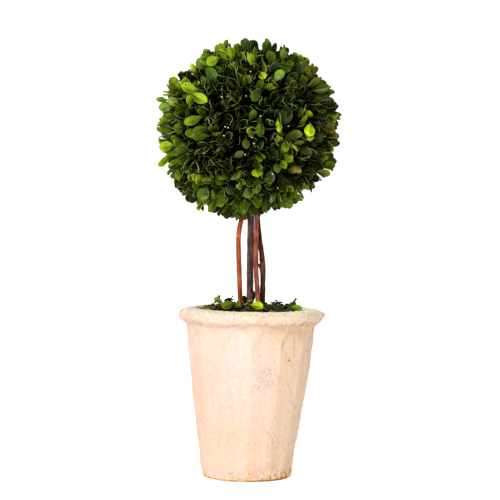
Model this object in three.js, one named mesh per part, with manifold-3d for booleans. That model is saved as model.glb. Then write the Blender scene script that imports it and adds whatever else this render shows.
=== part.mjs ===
// Box topiary ball in a pot, 18 inches (457 mm) tall.
//
// A clipped ball of box foliage stands on four thin, bare stems: a straight one in the
// middle, a red-brown one beside it, an orange-brown one that bends in under the ball, and a
// dark one behind that bows outwards and carries the stub of a cut side twig. The stems are
// pushed into the plug of filling in a hand-made terracotta pot with a flared, rounded lip.
// The pot's wall has fourteen shallow flutes with pointed tops, and its axis leans a little
// to one side, as thrown pots do.
//
// Millimetres, +Z up, +X to the right and -Y to the front. The origin is the middle of the
// pot's flat underside.
import * as THREE from 'three';
import { mergeVertices } from 'three/addons/utils/BufferGeometryUtils.js';
import Module from 'manifold-3d';

const wasm = await Module();
wasm.setup();

// ---------------------------------------------------------------- driving dimensions
const FIT_GAP = 0.4; // clearance kept between pieces that touch

const POT_LEAN = 5.7; // how far the pot's axis has moved to +X at lip height
const POT_LEAN_HEIGHT = 168;
const LIP_DROP = 1.3; // the lip is this much lower at the right than in the middle, and higher at the left
const POT_SEGMENTS = 56; // four to a flute
const WALL_SHIFT = 1.1; // under the lip the wall is this much fuller to the left than to the right
const FLUTES = 14;
const FLUTE_PHASE = (1.4 * Math.PI) / 180; // one rib stands this far right of the front
const FLUTE_DEPTH = 1.1;
const FLUTE_FOOT = 9; // the flutes fade out below this height
const ARCH_SPRING = 133; // where each flute's pointed top begins
const ARCH_TOP = 157;
const POT_FLOOR = 10;
const MOUTH_R = 55.4;

const FILL_EDGE_Z = 169.5; // top of the filling at the pot's wall
const FILL_CROWN = 6.5; // how much higher its middle stands
const FILL_SEGMENTS = 28;

const STEM_SIDES = 8;
const STEM_FOOT_Z = 118; // the stems are pushed this far down into the filling
const BALL_CENTRE = new THREE.Vector3(1.7, 0, 362.8);
const BALL_VALLEY_R = 87; // between two sprigs
const BALL_SPRIGS = 130; // leafy sprigs whose tips make the ball's uneven skin
const SPRIG_SPREAD = 0.25; // radians from a sprig's middle to its edge
const BALL_DETAIL = 11;
// Where the clipping left the skin proud or hollow: the angle up from +X as seen from the
// front, and how far the skin is moved there.
const CLIPPING = [
  { angle: 132, move: -4.5 },
  { angle: 148, move: 3.0 },
  { angle: 223, move: 4.2 },
  { angle: 262, move: 2.0 },
  { angle: 300, move: -4.5 },
  { angle: 335, move: 2.5 },
  { angle: 4, move: -3.0 },
];

// ---------------------------------------------------------------- helpers
// A repeatable number in 0..1 from a whole number.
const hash = (n) => {
  const x = Math.sin(n * 127.1 + 311.7) * 43758.5453;
  return x - Math.floor(x);
};

const smooth = (a, b, x) => {
  const t = Math.min(1, Math.max(0, (x - a) / (b - a)));
  return t * t * (3 - 2 * t);
};

// Merges a geometry's shared vertices and drops the faces that this leaves with no area.
function welded(geometry) {
  const bare = geometry.clone();
  bare.deleteAttribute('normal');
  bare.deleteAttribute('uv');
  const merged = mergeVertices(bare, 1e-3);
  const index = merged.index.array;
  const kept = [];
  for (let i = 0; i < index.length; i += 3) {
    const [a, b, c] = [index[i], index[i + 1], index[i + 2]];
    if (a !== b && b !== c && c !== a) kept.push(a, b, c);
  }
  merged.setIndex(kept);
  return merged;
}

function toSolid(geometry) {
  return new wasm.Manifold(
    new wasm.Mesh({
      numProp: 3,
      vertProperties: new Float32Array(geometry.attributes.position.array),
      triVerts: new Uint32Array(geometry.index.array),
    }),
  );
}

function toGeometry(solid) {
  const mesh = solid.getMesh();
  const n = mesh.numProp;
  const points = new Float32Array(mesh.numVert * 3);
  for (let i = 0; i < mesh.numVert; i++) {
    points.set(mesh.vertProperties.subarray(i * n, i * n + 3), i * 3);
  }
  const geometry = new THREE.BufferGeometry();
  geometry.setAttribute('position', new THREE.BufferAttribute(points, 3));
  geometry.setIndex(new THREE.BufferAttribute(new Uint32Array(mesh.triVerts), 1));
  geometry.computeVertexNormals();
  return geometry;
}

// Moves every vertex of a geometry by a function of its place.
function shaped(geometry, move) {
  const p = geometry.attributes.position;
  const v = new THREE.Vector3();
  for (let i = 0; i < p.count; i++) {
    v.fromBufferAttribute(p, i);
    move(v);
    p.setXYZ(i, v.x, v.y, v.z);
  }
  return geometry;
}

// A profile of [radius, height] pairs turned about +Z.
function turned(profile, segments) {
  const lathe = new THREE.LatheGeometry(
    profile.map(([r, z]) => new THREE.Vector2(r, z)),
    segments,
  );
  lathe.rotateX(Math.PI / 2);
  return welded(lathe);
}

// ---------------------------------------------------------------- pot
const OUTER_WALL = [
  [0, 0],
  [24, 0],
  [45.4, 0],
  [46.7, 1.0],
  [47.2, 3.2],
  [48.4, 9],
  [50.9, 26],
  [53.9, 45],
  [56.5, 64],
  [59.2, 82],
  [61.7, 100],
  [64.2, 118],
  [65.8, 133],
  [66.4, 141],
  [66.8, 149],
  [67.2, 155],
  [68.2, 158.8],
  [70.4, 161.3],
  [73.2, 163.3],
  [75.4, 165.6],
  [76.6, 168.2],
  [76.4, 170.3],
  [74.9, 172.0],
  [71.2, 173.7],
  [66.0, 175.0],
  [60.8, 175.6],
  [57.6, 175.4],
  [55.9, 174.2],
];
const INNER_WALL = [
  [MOUTH_R, 172],
  [54.6, 160],
  [53.4, 120],
  [46.8, 60],
  [39.8, 16],
  [35.2, POT_FLOOR],
  [0, POT_FLOOR],
];

const leanAt = (z) => (POT_LEAN * z) / POT_LEAN_HEIGHT;

// Half the width of a flute at a height, as a share of the flute's pitch: 1 below the spring
// of its arch, closing to a point at the top.
function archHalf(z) {
  if (z <= ARCH_SPRING) return 1;
  const t = Math.min(1, (z - ARCH_SPRING) / (ARCH_TOP - ARCH_SPRING));
  return Math.sqrt(Math.max(0, 1 - t * t)) * (1 - t * 0.35);
}

// How far the outer wall is hollowed at an angle and height.
function fluteCut(angle, z) {
  const turn = ((angle - FLUTE_PHASE) / (2 * Math.PI)) * FLUTES;
  const across = Math.abs(2 * (turn - Math.floor(turn)) - 1); // 0 mid-flute, 1 on a rib
  const half = archHalf(z);
  if (half <= 0.02) return 0;
  const inside = Math.max(0, 1 - (across / half) ** 2);
  return FLUTE_DEPTH * inside * smooth(2, FLUTE_FOOT, z);
}

const potGeometry = shaped(turned([...OUTER_WALL, ...INNER_WALL], POT_SEGMENTS), (v) => {
  const r = Math.hypot(v.x, v.y);
  const outside = v.z < 158 && r > v.z * 0.11 + 43.5;
  if (outside && v.z > 1.5) {
    // Angles run from the front, -Y, towards +X.
    const cut = fluteCut(Math.atan2(v.x, -v.y) + 2 * Math.PI, v.z);
    const k = (r - cut) / r;
    v.x *= k;
    v.y *= k;
    v.x -= WALL_SHIFT * smooth(112, 138, v.z);
  }
  const drop = LIP_DROP * (v.x / 76) * smooth(60, 165, v.z);
  v.x += leanAt(v.z);
  v.z -= drop;
});

// ---------------------------------------------------------------- foliage ball
// The sprigs' directions, spread evenly by the golden angle and then shaken a little.
const GOLDEN = Math.PI * (3 - Math.sqrt(5));
const sprigs = [];
for (let i = 0; i < BALL_SPRIGS; i++) {
  const z = 1 - (2 * (i + 0.5)) / BALL_SPRIGS + (hash(i) - 0.5) * 0.03;
  const a = i * GOLDEN + (hash(i + 500) - 0.5) * 0.22;
  const r = Math.sqrt(Math.max(0, 1 - z * z));
  sprigs.push({
    dir: new THREE.Vector3(Math.cos(a) * r, Math.sin(a) * r, Math.max(-1, Math.min(1, z))).normalize(),
    height: 3.5 + 6 * hash(i + 1000),
  });
}

// The ball's radius in a direction: rounded sprig tips on a slightly lumpy sphere.
function ballRadius(d) {
  let power = 0;
  for (const s of sprigs) {
    const gap = d.angleTo(s.dir) / SPRIG_SPREAD;
    if (gap < 1) power += (s.height * (1 - gap * gap)) ** 4;
  }
  const tip = power ** 0.25;
  // Fuller at the upper right and lower left, with the marks of the clipping round the sides.
  const round = Math.atan2(d.z, d.x);
  const facing = Math.sqrt(Math.max(0, 1 - d.y * d.y));
  let lumps = facing * (1.2 * Math.cos(2 * round) + 1.7 * Math.sin(2 * round)) + 0.9 * Math.sin(3 * d.y + 1.3);
  for (const mark of CLIPPING) {
    const away = Math.acos(Math.min(1, facing * Math.cos(round - (mark.angle * Math.PI) / 180)));
    lumps += mark.move * Math.exp(-((away / 0.22) ** 2));
  }
  return BALL_VALLEY_R + tip + lumps;
}

function ballGeometry(extra) {
  return shaped(welded(new THREE.IcosahedronGeometry(1, BALL_DETAIL)), (v) => {
    v.normalize();
    v.multiplyScalar(ballRadius(v) + extra).add(BALL_CENTRE);
  });
}

// ---------------------------------------------------------------- stems
// Each stem is given by its path from foot to top, its radius at both ends, and its colour.
// The top points lie inside the ball, and each stem is then cut off where it enters it.
const STEMS = [
  {
    name: 'stem_centre',
    path: [[3.5, 3, STEM_FOOT_Z], [3.8, 3, 185], [4.0, 3, 215], [4.5, 3, 250], [4.9, 3, 290]],
    radii: [3.35, 3.15],
    colour: 0x574540,
  },
  {
    name: 'stem_left',
    path: [
      [-5.4, -7, STEM_FOOT_Z], [-6.1, -7, 178], [-7.1, -6.5, 205], [-8.0, -6, 232], [-8.1, -5, 250],
      [-6.6, -4, 262], [-3.6, -3, 273], [-0.4, -2, 284], [1.5, -1.5, 292],
    ],
    radii: [2.45, 2.25],
    colour: 0xa8542e,
  },
  {
    name: 'stem_right',
    path: [
      [14.2, -7.6, STEM_FOOT_Z], [12.6, -7, 178], [11.0, -6.2, 202], [10.1, -5.6, 218], [10.1, -5, 232],
      [10.4, -4.4, 250], [10.8, -4, 270], [11.0, -4, 290],
    ],
    radii: [2.75, 2.2],
    colour: 0x9c5540,
  },
  {
    name: 'stem_bowed',
    path: [
      [17.0, -1.6, STEM_FOOT_Z], [17.3, -1, 178], [17.9, -0.4, 200], [18.0, 0.4, 217], [16.2, 2, 232],
      [14.1, 4, 246], [12.8, 5.6, 258], [11.6, 6.4, 272], [10.4, 7, 290],
    ],
    radii: [2.75, 2.3],
    colour: 0x4f3026,
    stub: { from: [17.0, 0.6, 216], to: [12.9, -0.2, 221.6], radii: [1.5, 0.95] },
  },
];

// A round bar along a path, tapering from one radius to the other, as a closed geometry.
function bar(points, radii, steps, sides, extra = 0) {
  const curve = new THREE.CatmullRomCurve3(points.map((p) => new THREE.Vector3(...p)));
  const outline = new THREE.Shape();
  for (let i = 0; i < sides; i++) {
    const a = (2 * Math.PI * i) / sides;
    if (i === 0) outline.moveTo(1, 0);
    else outline.lineTo(Math.cos(a), Math.sin(a));
  }
  outline.closePath();
  const made = new THREE.ExtrudeGeometry(outline, {
    steps,
    bevelEnabled: false,
    extrudePath: curve,
    curveSegments: sides,
  });
  const centres = curve.getSpacedPoints(steps);
  return shaped(welded(made), (v) => {
    let best = 0;
    for (let i = 1; i <= steps; i++) {
      if (centres[i].distanceToSquared(v) < centres[best].distanceToSquared(v)) best = i;
    }
    const t = best / steps;
    const radius = radii[0] + (radii[1] - radii[0]) * t + extra;
    v.sub(centres[best]).multiplyScalar(radius).add(centres[best]);
  });
}

const ballCutter = toSolid(ballGeometry(FIT_GAP));
const stemSolids = STEMS.map((stem) => {
  const steps = stem.path.length > 5 ? 20 : 8;
  const grown = (extra) => {
    let solid = toSolid(bar(stem.path, stem.radii, steps, STEM_SIDES, extra));
    if (stem.stub) {
      const { from, to, radii } = stem.stub;
      solid = solid.add(toSolid(bar([from, to], radii, 2, 6, extra)));
    }
    return solid;
  };
  const foot = grown(FIT_GAP);
  const whole = grown(0).subtract(ballCutter);
  // The cut can leave slivers on the far side of a hollow, so only the main piece is kept.
  const pieces = whole.decompose().sort((a, b) => b.volume() - a.volume());
  return { ...stem, solid: pieces[0], socket: foot };
});

// ---------------------------------------------------------------- filling
// A plug that fits the pot's inside, with an uneven, slightly domed top and a socket for each stem.
const fillProfile = [
  [0, POT_FLOOR + FIT_GAP],
  [34.8, POT_FLOOR + FIT_GAP],
  [39.4, 16.4],
  [46.3, 60],
  [52.9, 120],
  [53.9, 158],
  [53.9, FILL_EDGE_Z],
  [45, FILL_EDGE_Z + FILL_CROWN * 0.45],
  [33, FILL_EDGE_Z + FILL_CROWN * 0.75],
  [19, FILL_EDGE_Z + FILL_CROWN * 0.95],
  [0, FILL_EDGE_Z + FILL_CROWN],
];
let fill = toSolid(
  shaped(turned(fillProfile, FILL_SEGMENTS), (v) => {
    const r = Math.hypot(v.x, v.y);
    if (v.z > FILL_EDGE_Z - 0.1) {
      v.z += 1.3 * Math.sin(v.x * 0.21 + 0.7) * Math.cos(v.y * 0.17 - 0.4) * smooth(54, 44, r);
    }
    v.x += leanAt(Math.min(v.z, FILL_EDGE_Z));
  }),
);
for (const stem of stemSolids) {
  // The socket runs a little deeper than the stem's foot.
  const drop = new THREE.Matrix4().makeTranslation(0, 0, -0.5);
  fill = fill.subtract(stem.socket.transform(drop.elements)).subtract(stem.socket);
}

// ---------------------------------------------------------------- the object
const part = new THREE.Group();
part.name = 'box_topiary_ball';

function addMesh(name, geometry, colour, roughness) {
  const material = new THREE.MeshStandardMaterial({ color: colour, roughness, metalness: 0 });
  const mesh = new THREE.Mesh(geometry, material);
  mesh.name = name;
  part.add(mesh);
  return mesh;
}

addMesh('pot', potGeometry, 0xf6e0cc, 0.9);
addMesh('pot_fill', toGeometry(fill), 0x2f3a1c, 0.95);
const stems = new THREE.Group();
stems.name = 'stems';
part.add(stems);
for (const stem of stemSolids) {
  stems.add(addMesh(stem.name, toGeometry(stem.solid), stem.colour, 0.6));
}
addMesh('foliage_ball', ballGeometry(0), 0x35501a, 0.6);

export default part;
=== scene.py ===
"""The looks of a preserved box topiary ball in its pot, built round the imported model.

Lengths in this file are in millimetres and are turned into metres as each mesh is made.
+X is right, -Y is the front, +Z is up, and the origin is the middle of the pot's flat foot.
Angles round the pot run from the front, -Y, towards +X, in degrees.
"""

import math

import bpy
import numpy as np
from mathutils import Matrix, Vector


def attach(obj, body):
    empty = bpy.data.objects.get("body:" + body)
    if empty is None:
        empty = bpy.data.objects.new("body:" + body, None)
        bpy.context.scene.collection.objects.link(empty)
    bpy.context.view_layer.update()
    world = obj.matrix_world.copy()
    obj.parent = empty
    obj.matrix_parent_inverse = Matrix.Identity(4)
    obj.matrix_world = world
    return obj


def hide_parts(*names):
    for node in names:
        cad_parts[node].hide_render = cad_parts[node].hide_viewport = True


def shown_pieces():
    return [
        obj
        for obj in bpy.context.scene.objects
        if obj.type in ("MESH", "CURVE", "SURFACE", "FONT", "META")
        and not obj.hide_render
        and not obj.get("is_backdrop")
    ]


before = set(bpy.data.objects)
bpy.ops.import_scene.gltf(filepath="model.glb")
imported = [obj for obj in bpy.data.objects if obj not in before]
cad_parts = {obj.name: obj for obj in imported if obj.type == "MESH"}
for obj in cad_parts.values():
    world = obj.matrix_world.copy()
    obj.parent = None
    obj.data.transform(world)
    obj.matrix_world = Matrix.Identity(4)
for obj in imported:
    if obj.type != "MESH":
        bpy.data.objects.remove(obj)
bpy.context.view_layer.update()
MM = 0.001

# ------------------------------------------------------------------ sizes, as in the CAD model
POT_LEAN = 5.7
POT_LEAN_HEIGHT = 168.0
LIP_DROP = 1.3
FLUTES = 14
FLUTE_PHASE = 1.4
FLUTE_DEPTH = 0.95
ARCH_SPRING = 133.0
ARCH_TOP = 157.0
BALL_CENTRE = np.array([1.7, 0.0, 362.8])
CORE_RADIUS = 50.0
SPRIGS = 390
LEAF_LENGTH = 17.6

# The ball's outline seen from the front, mm from its centre, every 15 degrees up from +X.
OUTLINE = (
    95.8, 99.1, 94.0, 94.0, 91.9, 94.6, 91.4, 95.4, 91.8, 86.7, 95.6, 94.7,
    94.9, 96.2, 94.8, 96.9, 98.1, 92.0, 96.0, 85.9, 93.8, 91.4, 99.4, 96.0,
)

STEMS = {
    "stem_centre": {
        "path": [(3.5, 3, 150), (3.8, 3, 185), (4.0, 3, 215), (4.5, 3, 250), (4.9, 3, 290), (4.6, 2.4, 318)],
        "radii": (3.55, 3.35),
    },
    "stem_left": {
        "path": [
            (-5.8, -7, 150), (-6.1, -7, 178), (-7.1, -6.5, 205), (-8.0, -6, 232), (-8.1, -5, 250),
            (-6.6, -4, 262), (-3.6, -3, 273), (-0.4, -2, 284), (1.5, -1.5, 292), (1.8, -1.2, 316),
        ],
        "radii": (2.55, 2.4),
    },
    "stem_right": {
        "path": [
            (13.6, -7.4, 150), (12.6, -7, 178), (11.0, -6.2, 202), (10.1, -5.6, 218), (10.1, -5, 232),
            (10.4, -4.4, 250), (10.8, -4, 270), (11.0, -4, 290), (10.6, -3.6, 315),
        ],
        "radii": (2.65, 2.2),
    },
    "stem_bowed": {
        "path": [
            (16.8, -1.4, 150), (16.9, -1, 178), (17.3, -0.4, 200), (17.5, 0.4, 217), (16.2, 2, 232),
            (14.1, 4, 246), (12.8, 5.6, 258), (11.6, 6.4, 272), (10.4, 7, 290), (9.2, 7.2, 314),
        ],
        "radii": (2.8, 2.35),
    },
}


# ------------------------------------------------------------------ noise
def _lattice(ix, iy, iz, seed):
    n = (ix * 73856093) ^ (iy * 19349663) ^ (iz * 83492791) ^ (seed * 1013904223)
    n = n & 0xFFFFFFFF
    n = ((n ^ (n >> 15)) * 2246822519) & 0xFFFFFFFF
    n = ((n ^ (n >> 13)) * 3266489917) & 0xFFFFFFFF
    return ((n ^ (n >> 16)) & 0xFFFFFF) / float(0x7FFFFF) - 1.0


def noise(p, seed=0):
    """Smooth noise from -1 to 1 at each row of p, with features one unit across."""
    p = np.asarray(p, float)
    cell = np.floor(p).astype(np.int64)
    f = p - cell
    f = f * f * f * (f * (f * 6 - 15) + 10)
    out = np.zeros(len(p))
    for dx in (0, 1):
        wx = f[:, 0] if dx else 1 - f[:, 0]
        for dy in (0, 1):
            wy = f[:, 1] if dy else 1 - f[:, 1]
            for dz in (0, 1):
                wz = f[:, 2] if dz else 1 - f[:, 2]
                out += wx * wy * wz * _lattice(cell[:, 0] + dx, cell[:, 1] + dy, cell[:, 2] + dz, seed)
    return out


def fbm(p, seed=0, octaves=4, gain=0.5):
    out, amount, total = 0.0, 1.0, 0.0
    p = np.asarray(p, float)
    for k in range(octaves):
        out = out + amount * noise(p * 2.03**k + 17.3 * k, seed + k)
        total += amount
        amount *= gain
    return out / total


def smooth(a, b, x):
    t = np.clip((np.asarray(x, float) - a) / (b - a), 0, 1)
    return t * t * (3 - 2 * t)


def spline(points, spacing):
    """Points along a Catmull-Rom curve through the given ones, about a spacing apart."""
    p = np.asarray(points, float)
    p = np.vstack([2 * p[0] - p[1], p, 2 * p[-1] - p[-2]])
    dense = []
    for i in range(1, len(p) - 2):
        a, b, c, d = p[i - 1], p[i], p[i + 1], p[i + 2]
        for t in np.linspace(0, 1, 40, endpoint=False):
            dense.append(
                0.5 * (2 * b + (c - a) * t + (2 * a - 5 * b + 4 * c - d) * t**2 + (3 * b - a - 3 * c + d) * t**3)
            )
    dense.append(p[-2])
    dense = np.array(dense)
    run = np.concatenate([[0], np.cumsum(np.linalg.norm(np.diff(dense, axis=0), axis=1))])
    n = max(2, int(round(run[-1] / spacing)) + 1)
    at = np.linspace(0, run[-1], n)
    return np.stack([np.interp(at, run, dense[:, k]) for k in range(dense.shape[1])], axis=1)


# ------------------------------------------------------------------ meshes
def make_mesh(name, verts, faces, materials, face_material=None, smooth_faces=True):
    """A mesh object from vertices in mm and faces given as a list of index arrays, one array for each face size."""
    mesh = bpy.data.meshes.new(name)
    verts = np.asarray(verts, np.float64) * MM
    groups = [np.asarray(f, np.int32) for f in faces if len(f)]
    loops = np.concatenate([g.ravel() for g in groups])
    sizes = np.concatenate([np.full(len(g), g.shape[1], np.int32) for g in groups])
    starts = np.concatenate([[0], np.cumsum(sizes)[:-1]]).astype(np.int32)
    mesh.vertices.add(len(verts))
    mesh.vertices.foreach_set("co", verts.astype(np.float32).ravel())
    mesh.loops.add(len(loops))
    mesh.loops.foreach_set("vertex_index", loops.astype(np.int32))
    mesh.polygons.add(len(sizes))
    mesh.polygons.foreach_set("loop_start", starts)
    for m in materials:
        mesh.materials.append(m)
    if face_material is not None:
        mesh.polygons.foreach_set("material_index", np.asarray(face_material, np.int32))
    mesh.polygons.foreach_set("use_smooth", np.full(len(sizes), smooth_faces))
    mesh.update(calc_edges=True)
    mesh.validate()
    ob = bpy.data.objects.new(name, mesh)
    bpy.context.scene.collection.objects.link(ob)
    return ob


def grid_faces(rows, cols, wrap):
    """Quads of a rows x cols grid of vertices, closed round the columns if wrap."""
    r = np.arange(rows - 1)[:, None]
    c = np.arange(cols if wrap else cols - 1)[None, :]
    n = (c + 1) % cols
    return np.stack([r * cols + c, r * cols + n, (r + 1) * cols + n, (r + 1) * cols + c], axis=-1).reshape(-1, 4)


# ------------------------------------------------------------------ materials
class Nodes:
    """A material's node tree with short calls for the nodes used here."""

    def __init__(self, name):
        self.material = bpy.data.materials.new(name)
        self.material.use_nodes = True
        self.tree = self.material.node_tree
        self.bsdf = self.tree.nodes["Principled BSDF"]
        self.bsdf.inputs["Metallic"].default_value = 0.0

    def new(self, kind, **values):
        node = self.tree.nodes.new(kind)
        for k, v in values.items():
            setattr(node, k, v)
        return node

    def link(self, a, b):
        self.tree.links.new(a, b)

    def put(self, socket, value):
        if isinstance(value, bpy.types.NodeSocket):
            self.link(value, socket)
        else:
            socket.default_value = value

    def position(self, scale=(1, 1, 1), shift=(0, 0, 0)):
        coords = self.new("ShaderNodeTexCoord")
        mapping = self.new("ShaderNodeMapping")
        self.link(coords.outputs["Object"], mapping.inputs["Vector"])
        mapping.inputs["Scale"].default_value = scale
        mapping.inputs["Location"].default_value = shift
        return mapping.outputs["Vector"]

    def axes(self, vector):
        split = self.new("ShaderNodeSeparateXYZ")
        self.link(vector, split.inputs[0])
        return split.outputs

    def noise(self, vector, scale, detail=4.0, rough=0.55, distort=0.0, out="Fac"):
        node = self.new("ShaderNodeTexNoise")
        self.put(node.inputs["Vector"], vector)
        node.inputs["Scale"].default_value = scale
        node.inputs["Detail"].default_value = detail
        node.inputs["Roughness"].default_value = rough
        node.inputs["Distortion"].default_value = distort
        return node.outputs[out]

    def cells(self, vector, scale, feature="F1", randomness=1.0, out="Distance"):
        node = self.new("ShaderNodeTexVoronoi", feature=feature)
        self.put(node.inputs["Vector"], vector)
        node.inputs["Scale"].default_value = scale
        node.inputs["Randomness"].default_value = randomness
        return node.outputs[out]

    def math(self, op, a, b=0.0, c=0.0, clamp=False):
        node = self.new("ShaderNodeMath", operation=op, use_clamp=clamp)
        for socket, value in zip(node.inputs, (a, b, c)):
            self.put(socket, value)
        return node.outputs[0]

    def ramp(self, value, low, high, to_low=0.0, to_high=1.0):
        node = self.new("ShaderNodeMapRange", interpolation_type="SMOOTHSTEP")
        self.put(node.inputs["Value"], value)
        for key, v in (("From Min", low), ("From Max", high), ("To Min", to_low), ("To Max", to_high)):
            node.inputs[key].default_value = v
        return node.outputs["Result"]

    def mix(self, factor, a, b, blend="MIX"):
        node = self.new("ShaderNodeMix", data_type="RGBA", blend_type=blend)
        self.put(node.inputs[0], factor)
        for socket, value in ((node.inputs[6], a), (node.inputs[7], b)):
            if isinstance(value, bpy.types.NodeSocket):
                self.link(value, socket)
            else:
                socket.default_value = (*value, 1.0)
        return node.outputs[2]

    def bump(self, height, strength, distance, normal=None):
        node = self.new("ShaderNodeBump")
        self.put(node.inputs["Height"], height)
        node.inputs["Strength"].default_value = strength
        node.inputs["Distance"].default_value = distance
        if normal is not None:
            self.link(normal, node.inputs["Normal"])
        return node.outputs["Normal"]

    def finish(self, colour=None, roughness=None, normal=None, specular=0.5):
        if colour is not None:
            self.put(self.bsdf.inputs["Base Color"], colour)
        if roughness is not None:
            self.put(self.bsdf.inputs["Roughness"], roughness)
        if normal is not None:
            self.link(normal, self.bsdf.inputs["Normal"])
        self.bsdf.inputs["Specular IOR Level"].default_value = specular
        return self.material


def plain(name, colour, roughness=0.5, specular=0.4, glow=0.0):
    n = Nodes(name)
    n.bsdf.inputs["Emission Color"].default_value = (1.0, 1.0, 1.0, 1.0)
    n.bsdf.inputs["Emission Strength"].default_value = glow
    n.bsdf.inputs["Base Color"].default_value = (*colour, 1.0)
    n.bsdf.inputs["Roughness"].default_value = roughness
    n.bsdf.inputs["Specular IOR Level"].default_value = specular
    return n.material


def srgb(r, g, b):
    """Linear colour from 0..255 display values."""
    out = []
    for c in (r, g, b):
        c = c / 255.0
        out.append(c / 12.92 if c <= 0.04045 else ((c + 0.055) / 1.055) ** 2.4)
    return tuple(out)


def terracotta():
    n = Nodes("limewashed_terracotta")
    here = n.position()
    x, y, z = n.axes(here)
    streaks = n.noise(n.position(scale=(1, 1, 0.07)), 110, detail=4, rough=0.6)
    bands = n.noise(n.position(scale=(1, 1, 0.10), shift=(0.7, 0.1, 0.3)), 48, detail=3, rough=0.5)
    clouds = n.noise(here, 30, detail=3, rough=0.5, distort=0.5)
    mottle = n.noise(here, 150, detail=4, rough=0.6)
    blots = n.noise(n.position(scale=(1, 1, 0.8), shift=(0.2, 0.4, 0.1)), 260, detail=3, rough=0.55)
    grain = n.noise(here, 900, detail=3, rough=0.6)
    pink = n.noise(n.position(scale=(1, 1, 0.6), shift=(0.31, 0.12, 0.05)), 36, detail=2, rough=0.5)
    pits = n.noise(n.position(shift=(0.13, 0.57, 0.29)), 420, detail=2, rough=0.6)
    flakes = n.noise(n.position(scale=(1, 1, 0.8), shift=(0.43, 0.17, 0.61)), 380, detail=2, rough=0.6)
    veins = n.noise(n.position(shift=(0.23, 0.07, 0.41)), 150, detail=3, rough=0.6, distort=1.2)
    craze = n.new("ShaderNodeAttribute", attribute_name="craze").outputs["Fac"]
    pale = n.new("ShaderNodeAttribute", attribute_name="pale").outputs["Fac"]
    stain_and_shade = n.new("ShaderNodeAttribute", attribute_name="stain_and_shade").outputs["Fac"]
    lip = n.ramp(z, 0.158, 0.163)

    colour = n.mix(n.ramp(clouds, 0.36, 0.64), (0.570, 0.446, 0.386), (0.576, 0.430, 0.343))
    colour = n.mix(n.ramp(bands, 0.44, 0.58, 0.0, 0.55), colour, (0.577, 0.423, 0.316))
    colour = n.mix(n.ramp(pink, 0.5, 0.7, 0.0, 0.35), colour, (0.580, 0.412, 0.350))
    colour = n.mix(n.ramp(streaks, 0.50, 0.64, 0.0, 0.6), colour, (0.595, 0.478, 0.432))
    colour = n.mix(n.ramp(mottle, 0.52, 0.70, 0.0, 0.5), colour, (0.605, 0.492, 0.442))
    colour = n.mix(n.ramp(blots, 0.60, 0.72, 0.0, 0.4), colour, (0.553, 0.362, 0.252))
    # The wash is thinner lower down, where the clay's warmth comes through; to the right the colour is warmer and
    # darker, partly the clay's warmth and partly painted shade on the side away from the key light.
    warmth_and_right_shade = n.math("ADD", n.ramp(z, 0.110, 0.0, 0.0, 0.25), n.ramp(x, -0.005, 0.065, 0.0, 0.75))
    warmth_and_right_shade = n.math("MULTIPLY", warmth_and_right_shade, n.ramp(clouds, 0.3, 0.62, 0.6, 1.0))
    colour = n.mix(n.math("MULTIPLY", warmth_and_right_shade, 0.75), colour, (0.583, 0.441, 0.305))
    colour = n.mix(n.math("MULTIPLY", lip, 0.75), colour, (0.606, 0.505, 0.412))
    # The top of the lip is paler, partly the thickest wash and partly painted light from above, and below the lip, to
    # the right, is a mottled brown painted shade.
    lip_top_wash_and_light = n.ramp(z, 0.1700, 0.1742)
    thick = n.mix(n.ramp(x, -0.030, -0.005), (0.660, 0.588, 0.480), (0.742, 0.664, 0.536))
    colour = n.mix(n.math("MULTIPLY", lip_top_wash_and_light, n.ramp(blots, 0.62, 0.50, 0.50, 1.0)), colour, thick)
    under = n.math("MULTIPLY", n.ramp(z, 0.140, 0.152), n.math("MULTIPLY", n.ramp(z, 0.1655, 0.1625), n.ramp(x, 0.005, 0.040)))
    colour = n.mix(n.math("MULTIPLY", under, n.ramp(mottle, 0.40, 0.60, 0.40, 0.80)), colour, (0.552, 0.385, 0.250))
    colour = n.mix(n.math("MULTIPLY", pale, 0.8), colour, (0.591, 0.484, 0.440))
    # The left side below the lip's top is a little darker and pinker, and the right edge a little lighter.
    left = n.math("MULTIPLY", n.ramp(x, 0.004, -0.014), n.math("MULTIPLY", n.ramp(z, 0.02, 0.06), n.ramp(z, 0.1740, 0.1700)))
    colour = n.mix(left, colour, (0.985, 0.950, 0.960), "MULTIPLY")
    colour = n.mix(n.ramp(x, 0.022, 0.040), colour, (1.020, 1.045, 1.035), "MULTIPLY")
    rust = n.mix(n.ramp(z, 0.026, 0.012), (0.535, 0.345, 0.205), (0.582, 0.392, 0.158))
    colour = n.mix(n.ramp(stain_and_shade, 0.03, 0.65, 0.0, 0.85), colour, rust)
    colour = n.mix(n.ramp(stain_and_shade, 0.5, 1.0, 0.0, 0.9), colour, (0.30, 0.135, 0.055))
    # Flakes of thick wash, pinholes and hair cracks, thickest where the surface is crazed.
    colour = n.mix(n.math("MULTIPLY", n.ramp(flakes, 0.60, 0.68), n.math("ADD", n.math("MULTIPLY", craze, 0.5), 0.22)), colour, (0.66, 0.57, 0.51))
    much = n.math("ADD", n.math("MULTIPLY", craze, 0.75), n.ramp(x, -0.06, 0.06, 0.14, 0.30), clamp=True)
    colour = n.mix(n.math("MULTIPLY", n.ramp(pits, 0.645, 0.72), much), colour, (0.38, 0.225, 0.125))
    hair = n.ramp(n.math("ABSOLUTE", n.math("SUBTRACT", veins, 0.5)), 0.006, 0.016, 1.0, 0.0)
    colour = n.mix(n.math("MULTIPLY", hair, n.math("MULTIPLY", craze, 0.62)), colour, (0.36, 0.21, 0.11))

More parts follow.
